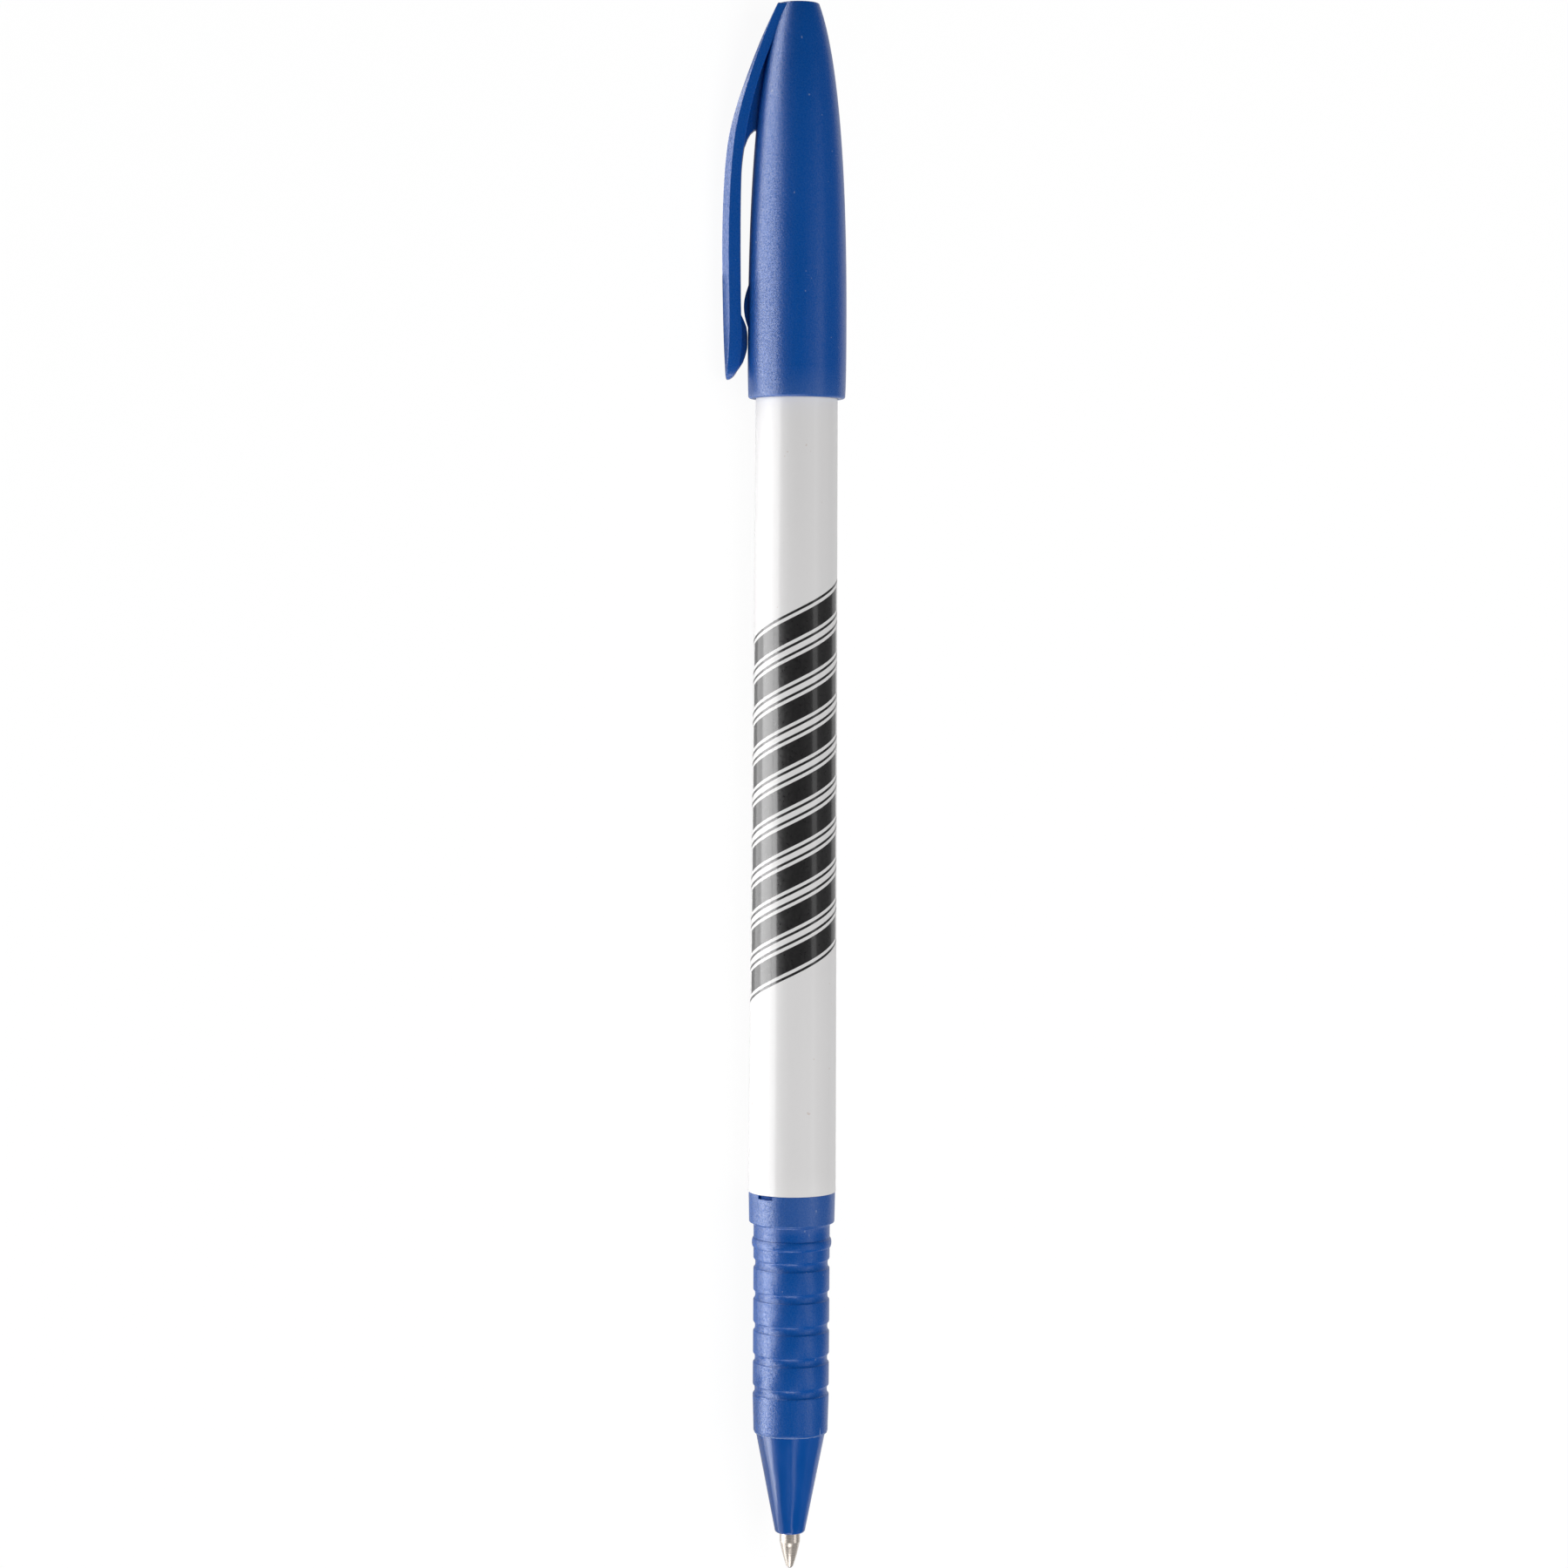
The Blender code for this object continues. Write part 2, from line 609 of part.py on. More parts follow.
def clip_loft(name, heights, collection, parent, material=None):
    """Bridges six-sided sections of the clip, one at each height, and closes both ends."""
    shape = bmesh.new()
    sections = []
    for height in heights:
        ridge = ridge_at(height)
        crease = ridge - roof_at(height)
        inner = underside_at(height)
        half = width_at(height)
        flat = min(CLIP_RIDGE_HALF_WIDTH, half)
        side = [(inner, half), (crease, half), (ridge, flat)]
        corners = [(out, -across) for out, across in side] + side[::-1]
        points = [shape.verts.new((-out, across, height)) for out, across in corners]
        edges = [shape.edges.new((points[i - 1], points[i])) for i in range(len(points))]
        sections.append(edges)
    for lower, upper in zip(sections, sections[1:]):
        bmesh.ops.bridge_loops(shape, edges=lower + upper)
    bmesh.ops.holes_fill(shape, edges=sections[0] + sections[-1], sides=0)
    bmesh.ops.recalc_face_normals(shape, faces=shape.faces)
    mesh = bpy.data.meshes.new(name)
    shape.to_mesh(mesh)
    shape.free()
    return add_mesh_object(name, mesh, collection, parent, material)


def build_cap(pen, parts, cutters, blue):
    """The cap's shell with the clip's root, its web and the hump, all one moulding."""
    crown_base = CAP_CROWN - CROWN_EDGE
    outer_heights = reversed(heights_between(CAP_WIDEST, crown_base, 14))
    outer = [(cap_radius(height), height) for height in outer_heights]
    mouth = arc(
        (MOUTH_RADIUS - MOUTH_ROUND, CAP_MOUTH + MOUTH_ROUND), (MOUTH_ROUND, MOUTH_ROUND), 0, -90, 3
    )
    inner_top = CAP_CROWN - CROWN_THICKNESS
    inner = [(cap_bore(height), height) for height in heights_between(PLUG_END + SEAT_GAP, inner_top, 9)]
    profile = [
        (0, CAP_CROWN),
        (CROWN_FLAT_RADIUS, CAP_CROWN),
        *outer,
        *mouth,
        (cap_bore(CAP_MOUTH), CAP_MOUTH),
        *inner,
        (0, inner_top),
    ]
    shell = turned("cap_shell", profile, parts, pen, blue, closed=False)

    root_bottom = BEND_HEIGHT + FLEX_GAP / 2
    root = as_cutter(clip_loft("clip_root", heights_between(root_bottom, CLIP_TOP, 9), cutters, pen))
    join_with(shell, root)

    # The web: a rib between the clip and the cap, hollowed by an arc where the clip's slot ends.
    slot_top = BEND_HEIGHT + SLOT_RISE
    slot_foot = (cap_radius(slot_top) - OVERLAP, slot_top)
    slot_end = (underside_at(BEND_HEIGHT) + OVERLAP, BEND_HEIGHT + FLEX_GAP)
    slot_arc = interpolate_bezier(
        Vector((*slot_foot, 0)),
        Vector((slot_foot[0] + OVERLAP + SLOT_ROUND, slot_top, 0)),
        Vector((slot_end[0] - SLOT_ROUND, slot_end[1] + SLOT_ROUND, 0)),
        Vector((*slot_end, 0)),
        6,
    )
    web_heights = heights_between(BEND_HEIGHT + WEB_RISE, CAP_CROWN - WEB_TOP_DEPTH, 5)
    outside = [((ridge_at(height) + underside_at(height)) / 2, height) for height in web_heights]
    inside = [(cap_radius(height) - OVERLAP, height) for height in reversed(web_heights)]
    web_outline = [(point.x, point.y) for point in slot_arc] + outside + inside
    web = plate("clip_web", web_outline, RIB_HALF_WIDTH, cutters, pen)
    join_with(shell, web)

    centre = CAP_CROWN - HUMP_CENTRE
    surface = cap_radius(centre)
    hump_top = arc((surface, centre), (HUMP_HEIGHT, HUMP_HALF_LENGTH), 90, -90, 8)
    foot = surface - OVERLAP
    hump_outline = [(foot, centre + HUMP_HALF_LENGTH), *hump_top, (foot, centre - HUMP_HALF_LENGTH)]
    hump = plate("cap_hump", hump_outline, RIB_HALF_WIDTH, cutters, pen)
    join_with(shell, hump)
    return shell


def build_clip(shell, parts, cutters, blue):
    """The springy arm and the pad that presses on the cap. Its origin is on the line it bends about."""
    arm_top = BEND_HEIGHT - FLEX_GAP / 2
    tip_heights = heights_between(CLIP_TIP, TIP_CURVE_END, 7)[:-1]
    arm_heights = heights_between(TIP_CURVE_END, arm_top, 10)
    arm = clip_loft("pocket_clip", tip_heights + arm_heights, parts, shell, blue)

    pad_face = CAP_RADIUS + PAD_GAP
    middle = (CLIP_INNER + CLIP_CREASE) / 2
    pad_top = CLIP_TIP + PAD_LENGTH
    contact_top = pad_top - PAD_LEAD_LENGTH
    contact_bottom = contact_top - PAD_CONTACT_LENGTH
    lead = arc((CLIP_INNER, contact_top), (CLIP_INNER - pad_face, PAD_LEAD_LENGTH), 90, 180, 5)
    back_end = underside_at(CLIP_TIP) - PAD_END_INSET
    back_height = contact_bottom - CLIP_TIP - PAD_END_RISE
    back = arc((back_end, contact_bottom), (back_end - pad_face, back_height), 180, 270, 7)
    inside_arm = (underside_at(CLIP_TIP), CLIP_TIP + CLIP_END_CURVE / 3)
    pad_outline = [(middle, pad_top), *lead, *back, inside_arm]
    pad = plate("clip_pad", pad_outline, RIB_HALF_WIDTH, cutters, shell)
    join_with(arm, pad)

    bend = Vector((-(ridge_at(BEND_HEIGHT) + underside_at(BEND_HEIGHT)) / 2, 0, BEND_HEIGHT))
    for obj in (arm, pad):
        obj.data.transform(Matrix.Translation(-bend))
        obj.location = bend
    return arm


def lay_down(pen):
    """Lays the pen along X, clip rolled down until its crease and the cap's widest ring touch the desk."""
    reach = math.hypot(CLIP_CREASE, CLIP_HALF_WIDTH)
    roll = math.asin(CAP_RADIUS / reach) - math.atan2(CLIP_HALF_WIDTH, CLIP_CREASE)
    crease_front = CLIP_CREASE * math.cos(roll) + CLIP_HALF_WIDTH * math.sin(roll)
    back_front = CLIP_OUTER * math.cos(roll) + CLIP_RIDGE_HALF_WIDTH * math.sin(roll)
    front = max(crease_front, back_front)
    pen.rotation_mode = "ZYX"
    pen.rotation_euler = (0, -math.pi / 2, math.pi / 2 - roll)
    pen.location = (CAP_CROWN / 2, (front - CAP_RADIUS) / 2, CAP_RADIUS)


def main():
    clear_scene()
    parts = new_collection("stick_ballpoint_pen")
    cutters = new_collection("cutters", hidden=True)
    matte_blue = new_material("matte_blue_plastic", BLUE, 0.42)
    gloss_blue = new_material("gloss_blue_plastic", NOSE_BLUE, 0.2)
    white = new_material("gloss_white_plastic", WHITE, 0.12)
    milky = new_material("milky_plastic", MILKY, 0.35)
    ink_blue = new_material("blue_ink", INK_BLUE, 0.1)
    metal = new_material("nickel_silver", NICKEL, 0.22, 1.0)
    carbide = new_material("tungsten_carbide", CARBIDE, 0.15, 1.0)

    pen = bpy.data.objects.new("pen", None)
    parts.objects.link(pen)
    build_point(pen, parts, metal, carbide, milky)
    build_refill(pen, parts, milky, ink_blue)
    build_nose(pen, parts, gloss_blue)
    build_sleeve(pen, parts, cutters, matte_blue)
    build_barrel(pen, parts, white, gloss_blue)
    shell = build_cap(pen, parts, cutters, matte_blue)
    build_clip(shell, parts, cutters, matte_blue)
    lay_down(pen)
    for obj in parts.objects:
        if obj.type == "MESH":
            settle(obj)


main()
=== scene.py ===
import math

import bmesh
import bpy
from mathutils import Matrix, Vector, noise


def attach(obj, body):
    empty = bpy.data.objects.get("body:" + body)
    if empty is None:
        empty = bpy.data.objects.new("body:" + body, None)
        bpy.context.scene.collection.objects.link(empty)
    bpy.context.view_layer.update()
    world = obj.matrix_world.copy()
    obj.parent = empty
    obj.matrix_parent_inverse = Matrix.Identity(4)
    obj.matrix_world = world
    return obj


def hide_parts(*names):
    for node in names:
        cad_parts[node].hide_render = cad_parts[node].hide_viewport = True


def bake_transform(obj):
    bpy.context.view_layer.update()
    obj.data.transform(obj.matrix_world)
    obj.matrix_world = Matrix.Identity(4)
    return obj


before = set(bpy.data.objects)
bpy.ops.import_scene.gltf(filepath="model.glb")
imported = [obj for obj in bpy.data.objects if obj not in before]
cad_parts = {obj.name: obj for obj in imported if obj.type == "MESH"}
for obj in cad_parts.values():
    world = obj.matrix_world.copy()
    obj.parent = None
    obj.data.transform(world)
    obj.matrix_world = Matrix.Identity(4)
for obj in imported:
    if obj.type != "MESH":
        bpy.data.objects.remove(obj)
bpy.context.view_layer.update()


# ---- Writing ball ----
# A tungsten carbide ball 0.7 mm across, ground and polished. It turns freely in the socket that is
# rolled over it at the end of the metal point, and carries the ink to the paper.

MM = 0.001

# The pen is drawn upright, ball at the bottom and clip towards -X, and each mesh is then laid on
# the desk: its length goes along the desk, and it is rolled over until the clip rests there.
ROLL = math.atan2(0.512903, 0.858446)
BALL_END = (0.087215, 0.001119, 0.005465)
TURNED = (
    (0, 0, -1, 0),
    (math.cos(ROLL), math.sin(ROLL), 0, 0),
    (math.sin(ROLL), -math.cos(ROLL), 0, 0),
    (0, 0, 0, 1),
)
LAID = Matrix.Translation(BALL_END) @ Matrix(TURNED)


def lay_on_desk(shape, name, crease=32):
    """Lays a shape on the desk as an object, smooth but for edges over the crease angle."""
    bmesh.ops.transform(shape, matrix=LAID, verts=shape.verts)
    mesh = bpy.data.meshes.new(name)
    shape.to_mesh(mesh)
    shape.free()
    mesh.shade_smooth()
    mesh.set_sharp_from_angle(angle=math.radians(crease))
    piece = bpy.data.objects.new(name, mesh)
    bpy.context.scene.collection.objects.link(piece)
    return piece


def new_finish(name, colour, roughness, metallic=0.0):
    """A material, its nodes, its links and its shader, with the plain values set on the shader."""
    finish = bpy.data.materials.new(name)
    finish.use_nodes = True
    nodes = finish.node_tree.nodes
    shader = nodes["Principled BSDF"]
    shader.inputs["Base Color"].default_value = (*colour, 1)
    shader.inputs["Roughness"].default_value = roughness
    shader.inputs["Metallic"].default_value = metallic
    return finish, nodes, finish.node_tree.links, shader


def speckle(nodes, links, size, stretch=(1, 1, 1), detail=2.0):
    """Noise with grains about `size` metres across, drawn out by `stretch` along the axes."""
    place = nodes.new("ShaderNodeTexCoord")
    mapping = nodes.new("ShaderNodeMapping")
    mapping.inputs["Scale"].default_value = [1 / (size * s) for s in stretch]
    links.new(place.outputs["Object"], mapping.inputs["Vector"])
    pattern = nodes.new("ShaderNodeTexNoise")
    pattern.inputs["Scale"].default_value = 1.0
    pattern.inputs["Detail"].default_value = detail
    links.new(mapping.outputs["Vector"], pattern.inputs["Vector"])
    return pattern.outputs["Fac"]


def spread(nodes, links, value, low, high, to_low, to_high):
    """Maps a pattern's values between low and high onto another pair of values."""
    mapped = nodes.new("ShaderNodeMapRange")
    mapped.inputs["From Min"].default_value = low
    mapped.inputs["From Max"].default_value = high
    mapped.inputs["To Min"].default_value = to_low
    mapped.inputs["To Max"].default_value = to_high
    links.new(value, mapped.inputs["Value"])
    return mapped.outputs["Result"]


def raise_grain(nodes, links, shader, value, height, strength=1.0, below=None):
    """Adds a pattern to the surface as relief `height` metres deep, over any relief below it."""
    bump = nodes.new("ShaderNodeBump")
    bump.inputs["Distance"].default_value = height
    bump.inputs["Strength"].default_value = strength
    links.new(value, bump.inputs["Height"])
    if below is not None:
        links.new(below, bump.inputs["Normal"])
    links.new(bump.outputs["Normal"], shader.inputs["Normal"])
    return bump.outputs["Normal"]


def tint(nodes, links, value, dark, light):
    """A colour that runs from dark to light with a pattern."""
    ramp = nodes.new("ShaderNodeValToRGB")
    ramp.color_ramp.elements[0].color = (*dark, 1)
    ramp.color_ramp.elements[1].color = (*light, 1)
    links.new(value, ramp.inputs["Fac"])
    return ramp.outputs["Color"]


def vary(nodes, links, pattern, low, high):
    """Lets a noise, which mostly lies between 0.3 and 0.7, swing from low to high."""
    return spread(nodes, links, pattern, 0.3, 0.7, low, high)


def weather(nodes, links, shader, pattern, dark, light, smooth, rough):
    """Drives both the colour and the roughness of a surface with one noise."""
    links.new(tint(nodes, links, pattern, dark, light), shader.inputs["Base Color"])
    links.new(vary(nodes, links, pattern, smooth, rough), shader.inputs["Roughness"])


carbide, nodes, links, shader = new_finish("polished_carbide", (0.55, 0.54, 0.54), 0.12, 1.0)
polish = speckle(nodes, links, 0.06 * MM)
weather(nodes, links, shader, polish, (0.48, 0.47, 0.47), (0.6, 0.59, 0.58), 0.08, 0.2)
raise_grain(nodes, links, shader, polish, 0.001 * MM)

BALL_RADIUS = 0.35 * MM
shape = bmesh.new()
bmesh.ops.create_uvsphere(shape, u_segments=48, v_segments=32, radius=BALL_RADIUS)
bmesh.ops.translate(shape, vec=(0, 0, BALL_RADIUS), verts=shape.verts)
ball = lay_on_desk(shape, "carbide_ball")
ball.data.materials.append(carbide)
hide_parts("writing_ball")
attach(ball, "ball")


# ---- Metal point ----
# Turned from 2.3 mm nickel silver stock: a short cylinder, a long taper with a slight belly, and a
# thin lip rolled over the ball. It is pressed into the plastic holder behind the nose cone.

POINT_RADIUS = 1.15 * MM
POINT_END = 11.4 * MM
POINT_CHAMFER = 0.15 * MM
TAPER_TOP = 2.72 * MM
TAPER_FOOT = 0.22 * MM
TAPER_RADIUS = 1.06 * MM
TAPER_BELLY = 0.05 * MM
LIP_RADIUS = 0.375 * MM
SOCKET_RADIUS = 0.36 * MM
INK_BORE = 0.5 * MM


def arc(centre, radii, start, end, steps):
    """Points (radius, height) on an ellipse round a centre, between two angles in degrees."""
    points = []
    for i in range(steps + 1):
        angle = math.radians(start + (end - start) * i / steps)
        radius = centre[0] + radii[0] * math.cos(angle)
        points.append((radius, centre[1] + radii[1] * math.sin(angle)))
    return points


def spin_round(shape, steps):
    """Sweeps a shape's loose edges once round the pen's axis, and closes the seam."""
    swept = shape.verts[:] + shape.edges[:]
    bmesh.ops.spin(
        shape,
        geom=swept,
        cent=(0, 0, 0),
        axis=(0, 0, 1),
        angle=math.tau,
        steps=steps,
        use_merge=True,
    )
    bmesh.ops.remove_doubles(shape, verts=shape.verts, dist=1e-7)


def spin_up(profile, steps):
    """Spins a closed or pole-to-pole (radius, height) profile once round the pen's axis."""
    shape = bmesh.new()
    points = [shape.verts.new((radius, 0, height)) for radius, height in profile]
    for pair in zip(points, points[1:]):
        shape.edges.new(pair)
    if profile[0][0] > 0 or profile[-1][0] > 0:
        shape.edges.new((points[-1], points[0]))
    spin_round(shape, steps)
    bmesh.ops.recalc_face_normals(shape, faces=shape.faces)
    return shape


nickel, nodes, links, shader = new_finish("turned_nickel_silver", (0.74, 0.67, 0.60), 0.28, 0.7)
tool_marks = speckle(nodes, links, 0.03 * MM, (1, 60, 60), 3.0)
blotches = speckle(nodes, links, 0.7 * MM, (2, 1, 1))
links.new(vary(nodes, links, tool_marks, 0.25, 0.31), shader.inputs["Roughness"])
stain = tint(nodes, links, blotches, (0.68, 0.61, 0.54), (0.80, 0.73, 0.67))
links.new(stain, shader.inputs["Base Color"])
raise_grain(nodes, links, shader, tool_marks, 0.0003 * MM, 0.15)

taper = []
for i in range(17):
    share = 1 - i / 16
    cone = LIP_RADIUS + (TAPER_RADIUS - LIP_RADIUS) * share
    radius = cone + TAPER_BELLY * math.sin(math.pi * share)
    taper.append((radius, TAPER_FOOT + (TAPER_TOP - TAPER_FOOT) * share))
socket = arc((0, BALL_RADIUS), (SOCKET_RADIUS, SOCKET_RADIUS), -20.0, 65.0, 10)
profile = [
    (POINT_RADIUS - POINT_CHAMFER, POINT_END),
    (POINT_RADIUS, POINT_END - POINT_CHAMFER),
    (POINT_RADIUS, TAPER_TOP + 0.34 * MM),
    (POINT_RADIUS - 0.012 * MM, TAPER_TOP + 0.3 * MM),
    (TAPER_RADIUS + 0.012 * MM, TAPER_TOP + 0.03 * MM),
    *taper,
    *socket,
    (0.15 * MM, 1.2 * MM),
    (INK_BORE, 1.7 * MM),
    (INK_BORE, POINT_END),
]
point = lay_on_desk(spin_up(profile, 96), "metal_point", crease=10)
point.data.materials.append(nickel)
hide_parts("point_housing")
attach(point, "pen")


# ---- Refill: holder, tube and ink ----
# Behind the point sit the parts that never show: a natural plastic holder, an extruded milky tube
# pressed over its spigot, and the thick blue ink in the tube. The solids keep their own shapes.


def recoat(node, finish):
    """Gives one of the solids a new material in place of its own."""
    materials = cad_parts[node].data.materials
    materials.clear()
    materials.append(finish)


holder_resin, nodes, links, shader = new_finish("natural_resin", (0.82, 0.83, 0.82), 0.45)
flow = speckle(nodes, links, 0.8 * MM, (3, 1, 1))
weather(nodes, links, shader, flow, (0.76, 0.77, 0.75), (0.86, 0.87, 0.86), 0.38, 0.52)
raise_grain(nodes, links, shader, flow, 0.01 * MM, 0.4)
recoat("point_holder", holder_resin)

tube_resin, nodes, links, shader = new_finish("extruded_milky_tube", (0.80, 0.83, 0.86), 0.28)
shader.inputs["Transmission Weight"].default_value = 0.35
draw_lines = speckle(nodes, links, 0.25 * MM, (60, 1, 1))
weather(nodes, links, shader, draw_lines, (0.74, 0.78, 0.83), (0.84, 0.87, 0.90), 0.2, 0.36)
raise_grain(nodes, links, shader, draw_lines, 0.006 * MM, 0.5)
recoat("refill_tube", tube_resin)

wet_ink, nodes, links, shader = new_finish("thick_blue_ink", (0.005, 0.01, 0.11), 0.08)
swirl = speckle(nodes, links, 0.6 * MM, (4, 1, 1), 3.0)
weather(nodes, links, shader, swirl, (0.003, 0.006, 0.08), (0.01, 0.018, 0.16), 0.05, 0.14)
raise_grain(nodes, links, shader, swirl, 0.01 * MM, 0.3)
recoat("ink_column", wet_ink)


# ---- Nose cone ----
# A smooth blue moulding that guides the point. It is glossier than the grip that it is pressed
# into, and has a rounded end and the faint long flow lines of a part pulled from a polished mould.

NOSE_START = 4.1 * MM
NOSE_END = 15.5 * MM
NOSE_END_RADIUS = 3.89 * MM
NOSE_TIP_RADIUS = 1.66 * MM
NOSE_ROUND = 0.34 * MM
NOSE_BORE = 1.2 * MM
NOSE_SPIGOT = 3.2 * MM
HOLDER_SEAT = 7.95 * MM
HOLDER_BORE = 1.75 * MM
SPIGOT_END = 23.5 * MM

glossy_blue, nodes, links, shader = new_finish("smooth_blue_plastic", (0.0, 0.071, 0.33), 0.2)
flow_lines = speckle(nodes, links, 0.30 * MM, (30, 1, 1))
cloudy_tone_and_painted_sheen = speckle(nodes, links, 1.4 * MM, (2.5, 1, 1))
weather(nodes, links, shader, cloudy_tone_and_painted_sheen, (0.0, 0.068, 0.315), (0.001, 0.077, 0.355), 0.15, 0.27)
dents = speckle(nodes, links, 1.3 * MM, (3, 1, 1), 0.0)
sink = raise_grain(nodes, links, shader, dents, 0.10 * MM, 0.5)
long_waves = raise_grain(nodes, links, shader, flow_lines, 0.012 * MM, 0.35, sink)
raise_grain(nodes, links, shader, speckle(nodes, links, 0.09 * MM), 0.003 * MM, 0.4, long_waves)

slope = (NOSE_END_RADIUS - NOSE_TIP_RADIUS) / (NOSE_END - NOSE_START)
shoulder = NOSE_TIP_RADIUS + slope * NOSE_ROUND
side = []
for i in range(25):
    share = 1 - i / 24
    height = NOSE_START + NOSE_ROUND + (NOSE_END - NOSE_START - NOSE_ROUND) * share
    side.append((shoulder + (NOSE_END_RADIUS - shoulder) * share, height))
end_middle = (shoulder - NOSE_ROUND, NOSE_START + NOSE_ROUND)
end = arc(end_middle, (NOSE_ROUND, NOSE_ROUND), -8, -90, 8)
profile = [
    (NOSE_SPIGOT, SPIGOT_END),
    (NOSE_SPIGOT, NOSE_END),
    *side,
    *end,
    (NOSE_BORE + 0.06 * MM, NOSE_START),
    (NOSE_BORE, NOSE_START + 0.06 * MM),
    (NOSE_BORE, HOLDER_SEAT),
    (HOLDER_BORE, HOLDER_SEAT),
    (HOLDER_BORE, SPIGOT_END),
]
nose = lay_on_desk(spin_up(profile, 144), "nose", crease=40)
nose.data.materials.append(glossy_blue)
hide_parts("nose_cone")
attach(nose, "pen")


# ---- Grip sleeve ----
# The textured blue grip: a collar that seats the barrel, a neck, the bead that the cap snaps over,
# five finger grooves and a rounded lip, moulded in one and pressed into the barrel by a spigot.

SLEEVE_LIP = 15.55 * MM
SLEEVE_RADIUS = 4.27 * MM
SLEEVE_SPIGOT = 54.65 * MM
LIP_ROUND = 0.26 * MM
GROOVES = [height * MM for height in (20.41, 23.965, 27.52, 31.075, 34.63)]
GROOVE_DEPTH = 0.225 * MM
GROOVE_REACH = 0.52 * MM
GROOVE_EDGE = 0.62 * MM
BEAD_HEIGHT = 36.95 * MM
BEAD_SIZE = (0.19 * MM, 0.55 * MM)
COLLAR_TOP = 42.65 * MM
COLLAR_RADIUS = 4.84 * MM
NOTCH_STEPS = 6
NOTCH_HEIGHT = 0.46 * MM
NOTCH_DEPTH = 0.32 * MM
NOTCH_ANGLE = math.radians(51.25)
SPIN_STEPS = 180


def combine(nodes, links, operation, first, second):
    """One step of arithmetic on two values, each a pattern or a number."""
    step = nodes.new("ShaderNodeMath")
    step.operation = operation
    for socket, value in zip(step.inputs, (first, second)):
        if isinstance(value, bpy.types.NodeSocket):
            links.new(value, socket)
        else:
            socket.default_value = value
    return step.outputs["Value"]


def overlay(nodes, links, share, under, shade):
    """Lays one shade over a colour, as far as a pattern says."""
    mixed = nodes.new("ShaderNodeMix")
    mixed.data_type = "RGBA"
    mixed.inputs["B"].default_value = (*shade, 1)
    links.new(share, mixed.inputs["Factor"])
    links.new(under, mixed.inputs["A"])
    return mixed.outputs["Result"]


def satin_blue(name, deep, pale, dent, painted_sheen_from, painted_sheen_full):
    """Blue plastic from a spark-eroded mould: grain, pale specks, rubbed patches, and a painted
    sheen, a paler blue towards one end.
    """
    finish, nodes, links, shader = new_finish(name, deep, 0.3)
    sparkle = speckle(nodes, links, 0.17 * MM, (1, 1, 1), 1.0)
    links.new(vary(nodes, links, sparkle, 0.27, 0.69), shader.inputs["Specular IOR Level"])
    grain = speckle(nodes, links, 0.13 * MM, (0.7, 1, 1), 2.0)
    clouds = speckle(nodes, links, 6 * MM, (2, 1, 1))
    specks = speckle(nodes, links, 0.55 * MM, (1, 1, 1), 0.0)
    place = nodes.new("ShaderNodeTexCoord")
    parts = nodes.new("ShaderNodeSeparateXYZ")
    links.new(place.outputs["Object"], parts.inputs["Vector"])
    # Painted sheen: from one height on, a paler, greyer blue is laid over the part (the cap's
    # mouth, the grip's collar) in place of the light that falls there.
    along = spread(nodes, links, parts.outputs["X"], painted_sheen_from, painted_sheen_full, 0, 1)
    cloudy_tone_and_painted_sheen = combine(nodes, links, "MULTIPLY", along, vary(nodes, links, clouds, 0.6, 1.0))
    dust = spread(nodes, links, specks, 0.845, 0.875, 0, 0.6)
    colour = tint(nodes, links, clouds, deep, pale)
    colour = overlay(nodes, links, cloudy_tone_and_painted_sheen, colour, (0.032, 0.105, 0.355))
    colour = overlay(nodes, links, dust, colour, (0.24, 0.30, 0.50))
    links.new(colour, shader.inputs["Base Color"])
    fine = vary(nodes, links, grain, -0.05, 0.06)
    rubbed = combine(nodes, links, "ADD", fine, vary(nodes, links, clouds, 0.29, 0.34))
    links.new(rubbed, shader.inputs["Roughness"])
    mapping = nodes.new("ShaderNodeMapping")
    mapping.inputs["Scale"].default_value = (1 / (0.17 * MM), 1 / (0.24 * MM), 1 / (0.24 * MM))
    links.new(place.outputs["Object"], mapping.inputs["Vector"])
    pits = nodes.new("ShaderNodeTexVoronoi")
    pits.inputs["Scale"].default_value = 1.0
    links.new(mapping.outputs["Vector"], pits.inputs["Vector"])
    under = raise_grain(nodes, links, shader, pits.outputs["Distance"], dent, 1.0)
    raise_grain(nodes, links, shader, grain, 0.014 * MM, 1.0, under)
    return finish


# The grip's painted sheen covers the collar and everything above it.
grip_blue = satin_blue(
    "satin_grip_blue", (0.0, 0.071, 0.325), (0.001, 0.079, 0.355), 0.008 * MM, 49.0 * MM, 48.3 * MM
)

